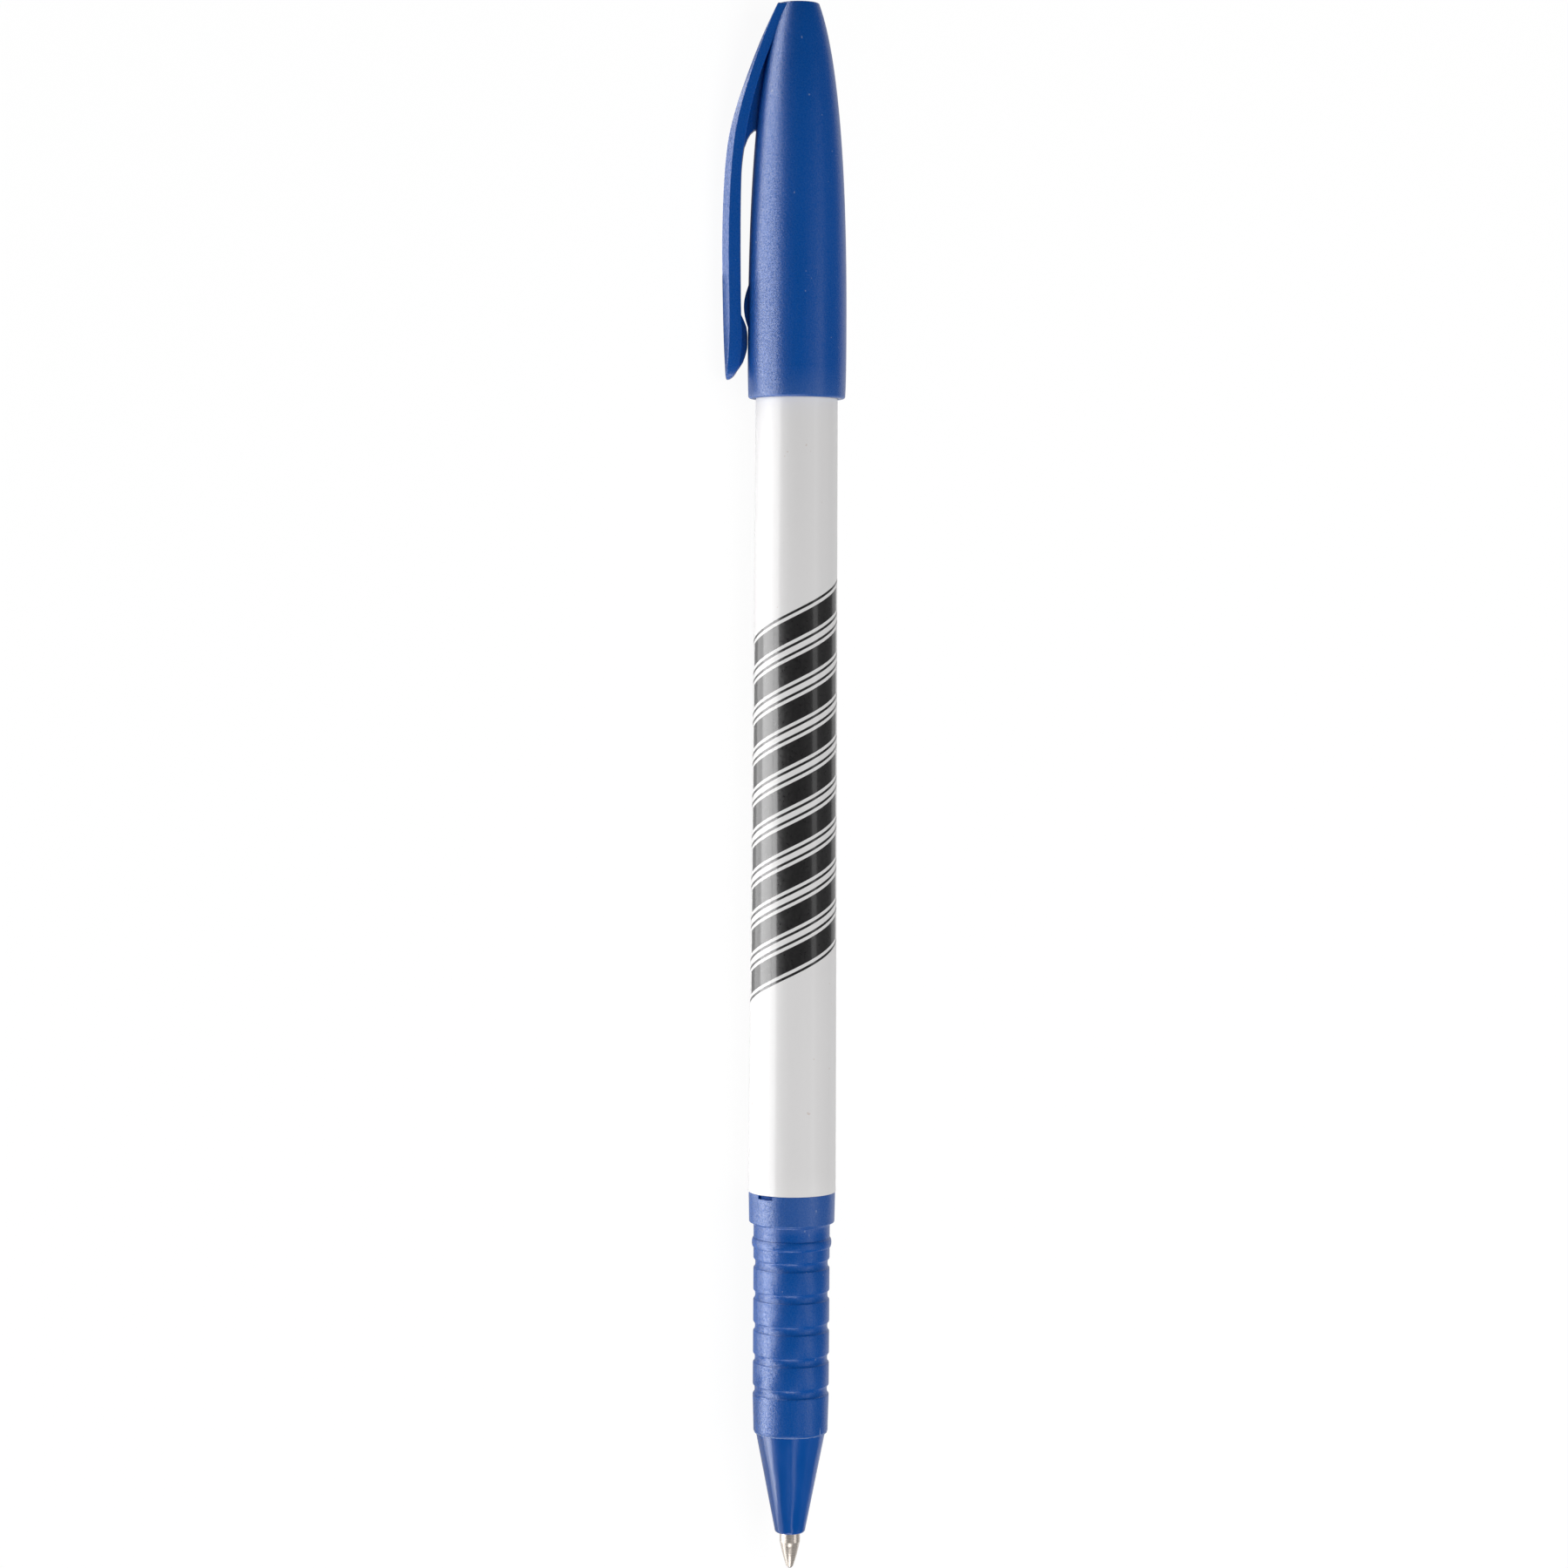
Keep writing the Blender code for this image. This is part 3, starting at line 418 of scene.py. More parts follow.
bead = arc((SLEEVE_RADIUS, BEAD_HEIGHT), BEAD_SIZE, 90, -90, 16)
grooves = []
for centre in reversed(GROOVES):
    groove_middle = (SLEEVE_RADIUS + 0.01 * MM, centre)
    grooves += [(SLEEVE_RADIUS, centre + GROOVE_EDGE)]
    grooves += arc(groove_middle, (GROOVE_DEPTH, GROOVE_REACH), 100, 260, 16)
    grooves += [(SLEEVE_RADIUS, centre - GROOVE_EDGE)]
lip = arc((3.91 * MM, SLEEVE_LIP + LIP_ROUND), (LIP_ROUND, LIP_ROUND), 0, -90, 8)
collar_edge = arc((4.61 * MM, 39.38 * MM), (0.17 * MM, 0.18 * MM), 10, -70, 6)
profile = [
    (3.72 * MM, SLEEVE_SPIGOT),
    (3.85 * MM, COLLAR_TOP),
    (COLLAR_RADIUS - 0.04 * MM, COLLAR_TOP),
    (COLLAR_RADIUS, COLLAR_TOP - 0.04 * MM),
    (COLLAR_RADIUS - 0.003 * MM, COLLAR_TOP - NOTCH_HEIGHT),
    (4.79 * MM, 39.75 * MM),
    *collar_edge,
    (4.37 * MM, 39.08 * MM),
    (4.285 * MM, 38.96 * MM),
    (SLEEVE_RADIUS, 38.60 * MM),
    *bead,
    *grooves,
    (SLEEVE_RADIUS, 19.6 * MM),
    (4.17 * MM, 16.0 * MM),
    *lip,
    (3.25 * MM, SLEEVE_LIP),
    (3.25 * MM, 23.55 * MM),
    (2.6 * MM, 23.55 * MM),
    (2.6 * MM, SLEEVE_SPIGOT),
]
shape = spin_up(profile, SPIN_STEPS)
bmesh.ops.rotate(shape, matrix=Matrix.Rotation(NOTCH_ANGLE, 3, "Z"), verts=shape.verts)

# The notch: a small window in the collar's upper edge, sunk by an inward extrusion of its faces.
notch_way = Vector((-math.cos(NOTCH_ANGLE), -math.sin(NOTCH_ANGLE), 0))
reach = math.cos(math.radians(360 / SPIN_STEPS * NOTCH_STEPS))
window = []
for face in shape.faces:
    middle = face.calc_center_median()
    if middle.z > COLLAR_TOP - NOTCH_HEIGHT and middle.xy.length > COLLAR_RADIUS - 0.02 * MM:
        if middle.xy.normalized().dot(notch_way.xy) > reach:
            window.append(face)
sunk = bmesh.ops.extrude_face_region(shape, geom=window)
sunk_points = [part for part in sunk["geom"] if isinstance(part, bmesh.types.BMVert)]
bmesh.ops.translate(shape, vec=notch_way * -NOTCH_DEPTH, verts=sunk_points)
bmesh.ops.delete(shape, geom=window, context="FACES")
# The notch's faces get their own blue, duller and paler than the grip's: painted light that
# brightens the shaded recess.
for face in shape.faces:
    if any(corner in sunk_points for corner in face.verts):
        face.material_index = 1
recess_blue_painted_light, nodes, links, shader = new_finish("recess_blue_painted_light", (0.0, 0.085, 0.40), 0.7)
shader.inputs["Specular IOR Level"].default_value = 0.2
dull = speckle(nodes, links, 0.2 * MM)
weather(nodes, links, shader, dull, (0.0, 0.075, 0.36), (0.001, 0.095, 0.44), 0.6, 0.8)
raise_grain(nodes, links, shader, dull, 0.01 * MM, 0.5)
sleeve = lay_on_desk(shape, "grip", crease=30)
sleeve.data.materials.append(grip_blue)
sleeve.data.materials.append(recess_blue_painted_light)
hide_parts("grip_sleeve")
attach(sleeve, "pen")

# Flash: the thin ragged ridge of plastic that the mould leaves round the sleeve's lip.
# Its pale colour is partly stress-whitened plastic and partly a painted highlight along the lip's
# edge.
FLASH_REACH = 4.04 * MM
FLASH_RADIUS = 0.06 * MM
flash = bmesh.new()
bmesh.ops.create_circle(flash, segments=8, radius=FLASH_RADIUS)
bmesh.ops.rotate(flash, matrix=Matrix.Rotation(math.pi / 2, 3, "X"), verts=flash.verts)
bmesh.ops.translate(flash, vec=(FLASH_REACH, 0, SLEEVE_LIP + 0.01 * MM), verts=flash.verts)
spin_round(flash, 240)
for corner in flash.verts:
    ragged = noise.noise(corner.co / (0.5 * MM)) + 0.5 * noise.noise(corner.co / (0.17 * MM))
    corner.co.z += 0.05 * MM * ragged
    corner.co.xy *= 1 + 0.008 * ragged
bmesh.ops.recalc_face_normals(flash, faces=flash.faces)
ridge = lay_on_desk(flash, "moulding_flash", crease=60)
# Pale, stress-whitened blue for the flash, the burrs and the gate mark; on the flash round the lip
# it is also a painted highlight.
stress_white_and_painted_highlight, nodes, links, shader = new_finish("stressed_blue_and_painted_highlight", (0.10, 0.18, 0.44), 0.4)
whitening_and_highlight = speckle(nodes, links, 0.3 * MM)
weather(nodes, links, shader, whitening_and_highlight, (0.07, 0.16, 0.43), (0.26, 0.36, 0.62), 0.3, 0.5)
raise_grain(nodes, links, shader, whitening_and_highlight, 0.01 * MM, 0.5)
ridge.data.materials.append(stress_white_and_painted_highlight)
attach(ridge, "pen")

# Burrs: short threads of plastic along the sleeve, left above its lip by nicks in the mould. Each
# has an angle round the sleeve in degrees, and a height over the lip, length and radius in mm.
BURRS = ((52, 0.60, 1.0, 0.10), (-44.5, 1.05, 0.35, 0.08))
BURR_REACH = 4.14 * MM
burrs = bmesh.new()
for angle, height, length, radius in BURRS:
    thread = bmesh.ops.create_cone(
        burrs,
        cap_ends=True,
        segments=10,
        radius1=radius * MM,
        radius2=radius / 3 * MM,
        depth=length * MM,
    )
    around = math.radians(angle)
    foot = Vector((BURR_REACH * math.sin(around), -BURR_REACH * math.cos(around), SLEEVE_LIP))
    bmesh.ops.translate(burrs, vec=foot + Vector((0, 0, height * MM)), verts=thread["verts"])
threads = lay_on_desk(burrs, "lip_burrs", crease=40)
threads.data.materials.append(stress_white_and_painted_highlight)
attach(threads, "pen")


# ---- Barrel ----
# The white tube, injected in one shot with a slight draft: 9.8 mm across at the grip and 9.0 mm at
# the rear. It is opaque and glossy, and its front edge closes against the grip's collar.

BARREL_FRONT = 42.67 * MM
BARREL_REAR = 143.50 * MM
FRONT_RADIUS = 4.90 * MM
REAR_RADIUS = 4.487 * MM
BARREL_WALL = 0.95 * MM


def barrel_radius(height):
    """The tube's outer radius at a height, drawn in evenly towards the rear."""
    share = (height - BARREL_FRONT) / (BARREL_REAR - BARREL_FRONT)
    return FRONT_RADIUS + (REAR_RADIUS - FRONT_RADIUS) * share


gloss_white, nodes, links, shader = new_finish("gloss_white_plastic", (0.80, 0.79, 0.79), 0.56)
shader.inputs["Specular IOR Level"].default_value = 0.7
shader.inputs["Coat Weight"].default_value = 0.35
shader.inputs["Coat Roughness"].default_value = 0.08
ripple = speckle(nodes, links, 5 * MM, (6, 1, 1), 1.0)
marks = speckle(nodes, links, 0.5 * MM, (1, 1, 1), 0.0)
body_white = tint(nodes, links, ripple, (0.785, 0.775, 0.775), (0.815, 0.805, 0.805))
scuffs = spread(nodes, links, marks, 0.86, 0.88, 0, 0.5)
spotted = overlay(nodes, links, scuffs, body_white, (0.62, 0.52, 0.46))
links.new(spotted, shader.inputs["Base Color"])
links.new(vary(nodes, links, ripple, 0.52, 0.60), shader.inputs["Roughness"])
handled = raise_grain(nodes, links, shader, ripple, 0.02 * MM, 0.4)
streaks = speckle(nodes, links, 0.15 * MM, (25, 1, 1))
raise_grain(nodes, links, shader, streaks, 0.0015 * MM, 0.5, handled)

REAR_EDGE = 0.12 * MM
FRONT_EDGE = 0.05 * MM
front_middle = (FRONT_RADIUS - FRONT_EDGE, BARREL_FRONT + FRONT_EDGE)
front_edge = arc(front_middle, (FRONT_EDGE, FRONT_EDGE), 0, -90, 5)
rear_middle = (REAR_RADIUS - REAR_EDGE, BARREL_REAR - REAR_EDGE)
rear_edge = arc(rear_middle, (REAR_EDGE, REAR_EDGE), 90, 0, 5)
stations = [BARREL_REAR - (BARREL_REAR - BARREL_FRONT) * i / 40 for i in range(1, 40)]
profile = [
    *rear_edge,
    *[(barrel_radius(height), height) for height in stations],
    *front_edge,
    (FRONT_RADIUS - BARREL_WALL, BARREL_FRONT),
    (REAR_RADIUS - BARREL_WALL, BARREL_REAR),
]
tube = lay_on_desk(spin_up(profile, 192), "white_barrel", crease=40)
tube.data.materials.append(gloss_white)
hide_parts("barrel")
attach(tube, "pen")


# ---- Printed stripes ----
# Black ink pad-printed on the barrel, a plain decoration: slanted bars, each between two thin
# rules. The ink stands a hundredth of a millimetre proud of the plastic and has a soft gloss.

PRINT_LOW = 63.5 * MM
PRINT_HIGH = 111.5 * MM
PRINT_HALF_ANGLE = math.radians(84)
INK_HEIGHT = 0.012 * MM
BAR_COUNT = 9
BAR_SLANT = 7.0 * MM
BAR_INSET = math.radians(9)
BAR_HALF = 1.25 * MM
RULE_NEAR = 1.65 * MM
RULE_FAR = 1.95 * MM

black_ink, nodes, links, shader = new_finish("printed_black_ink", (0.012, 0.012, 0.012), 0.32)
shader.inputs["Coat Weight"].default_value = 0.6
shader.inputs["Coat Roughness"].default_value = 0.1
mottle = speckle(nodes, links, 0.35 * MM, (1, 1, 1), 3.0)
weather(nodes, links, shader, mottle, (0.008, 0.008, 0.009), (0.020, 0.019, 0.019), 0.26, 0.4)
raise_grain(nodes, links, shader, mottle, 0.004 * MM, 0.5)


def print_strip(ink, low, high, half_angle, slant):
    """Adds a strip between two heights, wraps it on the barrel and lets it climb by its slant."""
    made = bmesh.ops.create_grid(ink, x_segments=28, y_segments=4, size=0.5)
    for corner in made["verts"]:
        angle = 2 * half_angle * corner.co.x
        height = low + (high - low) * (corner.co.y + 0.5) + slant * corner.co.x
        radius = barrel_radius(height) + INK_HEIGHT
        corner.co = (radius * math.sin(angle), -radius * math.cos(angle), height)


ink = bmesh.new()
spacing = (PRINT_HIGH - PRINT_LOW - BAR_SLANT) / BAR_COUNT
bar_angle = PRINT_HALF_ANGLE - BAR_INSET
strips = (
    (-BAR_HALF, BAR_HALF, bar_angle, BAR_SLANT * bar_angle / PRINT_HALF_ANGLE),
    (RULE_NEAR, RULE_FAR, PRINT_HALF_ANGLE, BAR_SLANT),
    (-RULE_FAR, -RULE_NEAR, PRINT_HALF_ANGLE, BAR_SLANT),
)
for i in range(BAR_COUNT):
    middle = PRINT_LOW + BAR_SLANT / 2 + spacing * (i + 0.5)
    for low, high, half_angle, slant in strips:
        print_strip(ink, middle + low, middle + high, half_angle, slant)
stripes = lay_on_desk(ink, "printed_stripes", crease=60)
stripes.data.materials.append(black_ink)
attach(stripes, "pen")


# ---- Rear plug ----
# A short blue plug pressed into the open rear of the barrel. It only shows when the cap is pulled
# off the rear: a low flange with a rounded edge, and the small mark of the gate in its middle.

PLUG_SEAT = 143.55 * MM
PLUG_END = 144.75 * MM
PLUG_FOOT = PLUG_SEAT - 5.0 * MM
PLUG_RADIUS = 3.48 * MM
PLUG_BORE = 2.2 * MM
FLANGE_RADIUS = 4.237 * MM
FLANGE_ROUND = 0.3 * MM
GATE_PIT = 0.12 * MM

flange_middle = (FLANGE_RADIUS - FLANGE_ROUND, PLUG_END - FLANGE_ROUND)
profile = [
    (0, PLUG_END - GATE_PIT),
    (0.45 * MM, PLUG_END - GATE_PIT),
    (0.55 * MM, PLUG_END),
    *arc(flange_middle, (FLANGE_ROUND, FLANGE_ROUND), 90, 0, 6),
    (FLANGE_RADIUS, PLUG_SEAT),
    (PLUG_RADIUS, PLUG_SEAT),
    (PLUG_RADIUS, PLUG_FOOT + 0.4 * MM),
    (PLUG_RADIUS - 0.18 * MM, PLUG_FOOT),
    (PLUG_BORE, PLUG_FOOT),
    (PLUG_BORE, PLUG_SEAT),
    (0, PLUG_SEAT),
]
plug = lay_on_desk(spin_up(profile, 96), "barrel_plug", crease=35)
plug.data.materials.append(glossy_blue)
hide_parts("rear_plug")
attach(plug, "pen")


# ---- Cap ----
# One moulding in textured blue with its clip: a bullet-shaped shell that grips the barrel's rear,
# a flat crown with the mark of the gate, and a hump beside the place where the clip's pad touches.

CAP_MOUTH = 131.0 * MM
CAP_CROWN = 174.43 * MM
CAP_WIDEST = 136.0 * MM
CAP_RADIUS = 5.465 * MM
CROWN_ROUND = 0.10 * MM
CURVE_LENGTH = 41.0 * MM
MOUTH_ROUND = 0.3 * MM
MOUTH_DRAWN_IN = 0.085 * MM
PARTING = 134.2 * MM
PARTING_RIDGE = 0.014 * MM
CAP_BORE = 4.60 * MM
CAP_WALL = 0.865 * MM
BORE_STRAIGHT = 144.8 * MM
BORE_END = 172.43 * MM


def cap_radius(height):
    """The shell's outer radius: drawn in at the mouth, and a long bullet curve to the crown."""
    if height < CAP_WIDEST:
        to_mouth = (CAP_WIDEST - height) / (CAP_WIDEST - CAP_MOUTH)
        return CAP_RADIUS - MOUTH_DRAWN_IN * to_mouth**2
    share = (height - CAP_WIDEST) / CURVE_LENGTH
    return CAP_RADIUS * (1 - share**2.5) ** (1 / 2.1)


# The cap's painted sheen fades in over the last 3 mm towards the mouth.
cap_blue = satin_blue(
    "satin_cap_blue", (0.0, 0.070, 0.330), (0.001, 0.078, 0.360), 0.010 * MM, -47.2 * MM, -43.9 * MM
)

crown_edge = CAP_CROWN - CROWN_ROUND
crown_middle = (cap_radius(crown_edge) - CROWN_ROUND, crown_edge)
crown = arc(crown_middle, (CROWN_ROUND, CROWN_ROUND), 90, 10, 5)
outside = []
for i in range(1, 64):
    height = crown_edge + (CAP_MOUTH + MOUTH_ROUND - crown_edge) * i / 64
    outside.append((cap_radius(height), height))
outside += [(cap_radius(PARTING + side), PARTING + side) for side in (0.09 * MM, -0.09 * MM)]
outside.append((cap_radius(PARTING) + PARTING_RIDGE, PARTING))
outside.sort(key=lambda spot: -spot[1])
mouth = arc((5.08 * MM, CAP_MOUTH + MOUTH_ROUND), (MOUTH_ROUND, MOUTH_ROUND), 0, -90, 8)
inside = [(CAP_BORE, CAP_MOUTH + 0.02 * MM)]
for i in range(33):
    height = BORE_STRAIGHT + (BORE_END - BORE_STRAIGHT) * i / 32
    inside.append((min(CAP_BORE, cap_radius(height) - CAP_WALL), height))
profile = [(0, CAP_CROWN), *crown, *outside, *mouth, *inside, (0, BORE_END)]
cap = lay_on_desk(spin_up(profile, 208), "cap", crease=34)
cap.data.materials.append(cap_blue)
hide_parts("cap_shell")
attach(cap, "cap")

# The gate mark: a small torn disc of paler plastic where the mould was filled, on the crown.
GATE_RADIUS = 0.42 * MM
gate = bmesh.new()
bmesh.ops.create_cone(
    gate,
    cap_ends=True,
    segments=20,
    radius1=GATE_RADIUS,
    radius2=GATE_RADIUS - 0.12 * MM,
    depth=0.10 * MM,
)
for corner in gate.verts:
    corner.co.xy *= 1 + 0.12 * noise.noise(corner.co / (0.2 * MM))
bmesh.ops.translate(gate, vec=(0, 0, CAP_CROWN + 0.02 * MM), verts=gate.verts)
gate_mark = lay_on_desk(gate, "gate_mark", crease=40)
gate_mark.data.materials.append(stress_white_and_painted_highlight)
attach(gate_mark, "cap")

RIB_HALF_WIDTH = 0.8 * MM
RIB_ROUND = 0.12 * MM


def rib(name, outline, body):
    """A rib on the clip's plane: an outline of (distance out, height), thickened and rounded."""
    shape = bmesh.new()
    points = [shape.verts.new((-out, -RIB_HALF_WIDTH, height)) for out, height in outline]
    edges = [shape.edges.new((points[i - 1], points[i])) for i in range(len(points))]
    face = bmesh.ops.holes_fill(shape, edges=edges, sides=0)["faces"]
    grown = bmesh.ops.extrude_face_region(shape, geom=face)
    far = [part for part in grown["geom"] if isinstance(part, bmesh.types.BMVert)]
    bmesh.ops.translate(shape, vec=(0, 2 * RIB_HALF_WIDTH, 0), verts=far)
    bmesh.ops.recalc_face_normals(shape, faces=shape.faces)
    rim = [edge for edge in shape.edges if abs(edge.verts[0].co.y - edge.verts[1].co.y) < 1e-7]
    bmesh.ops.bevel(
        shape,
        geom=rim,
        offset=RIB_ROUND,
        affect="EDGES",
        segments=3,
        profile=0.5,
        material=-1,
        clamp_overlap=True,
    )
    bmesh.ops.triangulate(shape, faces=[face for face in shape.faces if len(face.verts) > 4])
    piece = lay_on_desk(shape, name, crease=40)
    piece.data.materials.append(cap_blue)
    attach(piece, body)


# The hump: a low swell on the cap, just above the place where the clip's pad touches it.
HUMP_MIDDLE = 141.1 * MM
HUMP_REACH = 2.35 * MM
HUMP_RISE = 0.50 * MM
surface = cap_radius(HUMP_MIDDLE)
foot = [(surface - 0.4 * MM, HUMP_MIDDLE + side * 2.3 * MM) for side in (1, -1)]
outline = [foot[0]]
for i in range(25):
    share = 1 - 2 * i / 24
    rise = HUMP_RISE * (1 - share**2) ** 1.15
    outline.append((surface - 0.03 * MM + rise, HUMP_MIDDLE + HUMP_REACH * share))
outline.append(foot[1])
rib("cap_hump", outline, "cap")


# ---- Pocket clip ----
# The springy blue arm is moulded with the cap and grows out of the crown, with a thin web in the
# corner. Its back is flat with a wide bevel along each edge, its sides are flat, and a rib-like pad
# behind its end nips the pocket.


def curve_through(points, place):
    """The value at a place on a smooth curve through (place, value) points in rising order."""
    place = min(max(place, points[0][0]), points[-1][0])
    i = max(k for k in range(len(points) - 1) if points[k][0] <= place)
    slopes = []
    for k in (i, i + 1):
        before, after = points[max(k - 1, 0)], points[min(k + 1, len(points) - 1)]
        slopes.append((after[1] - before[1]) / (after[0] - before[0]))
    span = points[i + 1][0] - points[i][0]
    t = (place - points[i][0]) / span
    rise = (2 * t**3 - 3 * t**2 + 1) * points[i][1] + (3 * t**2 - 2 * t**3) * points[i + 1][1]
    return rise + (t**3 - 2 * t**2 + t) * span * slopes[0] + (t**3 - t**2) * span * slopes[1]


# At heights up the pen: how far the arm's back and its inner face stand from the pen's axis, how
# deep its bevels are, and half its width. These tables and the values after them are in mm.
BACK = [
    (133.08, 7.90), (136.6, 8.09), (140.4, 8.22), (144.25, 8.31), (148.1, 8.355), (151.9, 8.30),
    (155.75, 8.12), (157.7, 7.95), (159.6, 7.70), (161.5, 7.28), (163.4, 6.74), (165.3, 6.10),
    (167.2, 5.42), (169.1, 4.70), (171.0, 3.92), (172.9, 3.05), (174.3, 2.38),
]
INNER = [
    (133.08, 7.42), (133.4, 7.12), (134.0, 6.70), (134.9, 6.34), (136.5, 6.12), (138.5, 6.11),
    (140.4, 6.22), (142.3, 6.27), (150.0, 6.34), (155.75, 6.28), (157.7, 6.12), (160.9, 5.61),
    (163.4, 5.10), (164.6, 4.80), (166.1, 4.36), (167.9, 3.76), (169.5, 3.15), (171.4, 2.40),
    (172.9, 1.75), (174.3, 1.00),
]
FACET = [
    (133.08, 0.10), (133.6, 0.16), (135.0, 0.34), (137.0, 0.56), (139.5, 0.70), (143.0, 0.73),
    (158.0, 0.72), (161.0, 0.62), (163.4, 0.50), (169.0, 0.26), (174.3, 0.06),
]
HALF_WIDTH = [
    (133.08, 0.95), (133.6, 1.30), (134.6, 1.60), (136.5, 1.85), (139.0, 1.90), (174.3, 1.90),
]
CLIP_TIP = 133.08
CLIP_BODY = 136.5
CLIP_NECK = 173.9
CLIP_TOP = 174.30
TIP_ROUND = 0.45
TOP_ROUND = 0.20
CORNER_ROUND = 0.09
FLAT_SHARE = 0.615


def softened(corners, radius, steps=4):
    """The outline of a polygon with each corner rounded by a small arc."""
    outline = []
    for i, corner in enumerate(corners):
        before = (corners[i - 1] - corner).normalized()
        after = (corners[(i + 1) % len(corners)] - corner).normalized()
        start, end = corner + before * radius, corner + after * radius
        for step in range(steps + 1):
            t = step / steps
            outline.append(start * (1 - t) ** 2 + corner * 2 * t * (1 - t) + end * t**2)
    return outline


shape = bmesh.new()
rounded = CLIP_TIP + TIP_ROUND
heights = [CLIP_TIP + TIP_ROUND * (i / 6) ** 2 for i in range(6)]
heights += [rounded + (CLIP_BODY - rounded) * i / 12 for i in range(12)]
heights += [CLIP_BODY + (CLIP_NECK - CLIP_BODY) * i / 84 for i in range(84)]
heights += [CLIP_NECK + (CLIP_TOP - CLIP_NECK) * (1 - (1 - i / 5) ** 2) for i in range(6)]
rings = []
for height in heights:
    back = curve_through(BACK, height)
    inner = curve_through(INNER, height)
    crease = back - curve_through(FACET, height)
    half = curve_through(HALF_WIDTH, height)
    flat = half * FLAT_SHARE
    one_side = [(inner, half), (crease, half), (back, flat)]
    corners = [(out, -wide) for out, wide in one_side] + one_side[::-1]
    outline = softened([Vector(corner) for corner in corners], CORNER_ROUND)
    middle = sum(outline, Vector((0, 0))) / len(outline)
    from_tip = min(1.0, (height - CLIP_TIP) / TIP_ROUND)
    from_top = min(1.0, (CLIP_TOP - height) / TOP_ROUND)
    draw_in = min(
        0.35 + 0.65 * math.sqrt(1 - (1 - from_tip) ** 2),
        0.88 + 0.12 * math.sqrt(1 - (1 - from_top) ** 2),
    )
    ring = []
    for spot in outline:
        spot = middle + (spot - middle) * draw_in
        ring.append(shape.verts.new((-spot.x * MM, spot.y * MM, height * MM)))
    rings.append([shape.edges.new((ring[i - 1], ring[i])) for i in range(len(ring))])
for lower, upper in zip(rings, rings[1:]):
    bmesh.ops.bridge_loops(shape, edges=lower + upper)
ends = bmesh.ops.holes_fill(shape, edges=rings[0] + rings[-1], sides=0)["faces"]
bmesh.ops.triangulate(shape, faces=ends)
bmesh.ops.recalc_face_normals(shape, faces=shape.faces)
clip = lay_on_desk(shape, "clip", crease=24)
clip.data.materials.append(cap_blue)
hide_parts("pocket_clip")
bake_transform(clip)

# The web: the thin rib that fills the corner between the clip's root and the cap.
WEB_CORNER = [
    (4.45, 160.55), (4.89, 160.53), (5.285, 160.15), (5.61, 159.60), (5.88, 158.85),
    (6.25, 158.1), (6.6, 159.2),
]
WEB_LOW = 160.5
WEB_HIGH = 172.4
WEB_FOOT = 161.0
outline = [(out * MM, height * MM) for out, height in WEB_CORNER]
for i in range(13):
    height = WEB_LOW + (WEB_HIGH - WEB_LOW) * i / 12
    depth = (curve_through(INNER, height) + curve_through(BACK, height)) / 2
    outline.append((depth * MM, height * MM))
for i in range(13):
    height = (WEB_HIGH - (WEB_HIGH - WEB_FOOT) * i / 12) * MM
    outline.append((cap_radius(height) - 0.35 * MM, height))
rib("clip_web", outline, "cap")

# The pad: a rib behind the clip's end, rounded where it touches the cap and cut away to the tip.
PAD = [
    (6.9, 140.9), (6.30, 140.42), (6.15, 140.10), (5.82, 139.4), (5.62, 138.85), (5.53, 138.3),
    (5.50, 137.8), (5.50, 137.0), (5.53, 136.6), (5.61, 136.2), (5.78, 135.6), (6.0, 135.0),
    (6.32, 134.5), (6.72, 133.95), (7.28, 133.42), (7.5, 134.2),
]
rib("clip_pad", [(out * MM, height * MM) for out, height in PAD], "clip")


# ---- Desk, lamps and camera ----
# A plain white desk runs out past the picture. A long low window lights the clip side, cards on the
# desk brighten the pen's underside, and dimmer lamps hang overhead, behind it and past its end. The
# camera looks at the pen as the photograph was taken.


def brightest_ray(nodes, links, shares):
    """The largest of the given shares whose kind of ray has arrived, or nothing for other rays."""
    rays = nodes.new("ShaderNodeLightPath").outputs
    best = 0.0
    for kind, share in shares:
        scaled = combine(nodes, links, "MULTIPLY", rays[kind], share)
        best = combine(nodes, links, "MAXIMUM", best, scaled)
    return best


DESK_RADIUS = 3.0
DESK_GLOW = 1.03
desk_shape = bmesh.new()
bmesh.ops.create_circle(desk_shape, cap_ends=True, segments=128, radius=DESK_RADIUS)
desk_mesh = bpy.data.meshes.new("desk")
desk_shape.to_mesh(desk_mesh)
desk_shape.free()
desk = bpy.data.objects.new("desk", desk_mesh)
bpy.context.scene.collection.objects.link(desk)
desk_white = bpy.data.materials.new("white_desk")
desk_white.use_nodes = True
nodes, links = desk_white.node_tree.nodes, desk_white.node_tree.links
nodes.clear()
matt = nodes.new("ShaderNodeBsdfDiffuse")
matt.inputs["Color"].default_value = (0.88, 0.88, 0.88, 1)
glow = nodes.new("ShaderNodeEmission")
glow.inputs["Strength"].default_value = DESK_GLOW
DESK_SEEN = (("Is Camera Ray", 0.92), ("Is Glossy Ray", 0.40), ("Is Transmission Ray", 0.40))
seen = brightest_ray(nodes, links, DESK_SEEN)
both = nodes.new("ShaderNodeMixShader")
out = nodes.new("ShaderNodeOutputMaterial")
links.new(seen, both.inputs["Fac"])
links.new(matt.outputs["BSDF"], both.inputs[1])
links.new(glow.outputs["Emission"], both.inputs[2])
links.new(both.outputs["Shader"], out.inputs["Surface"])
desk_mesh.materials.append(desk_white)

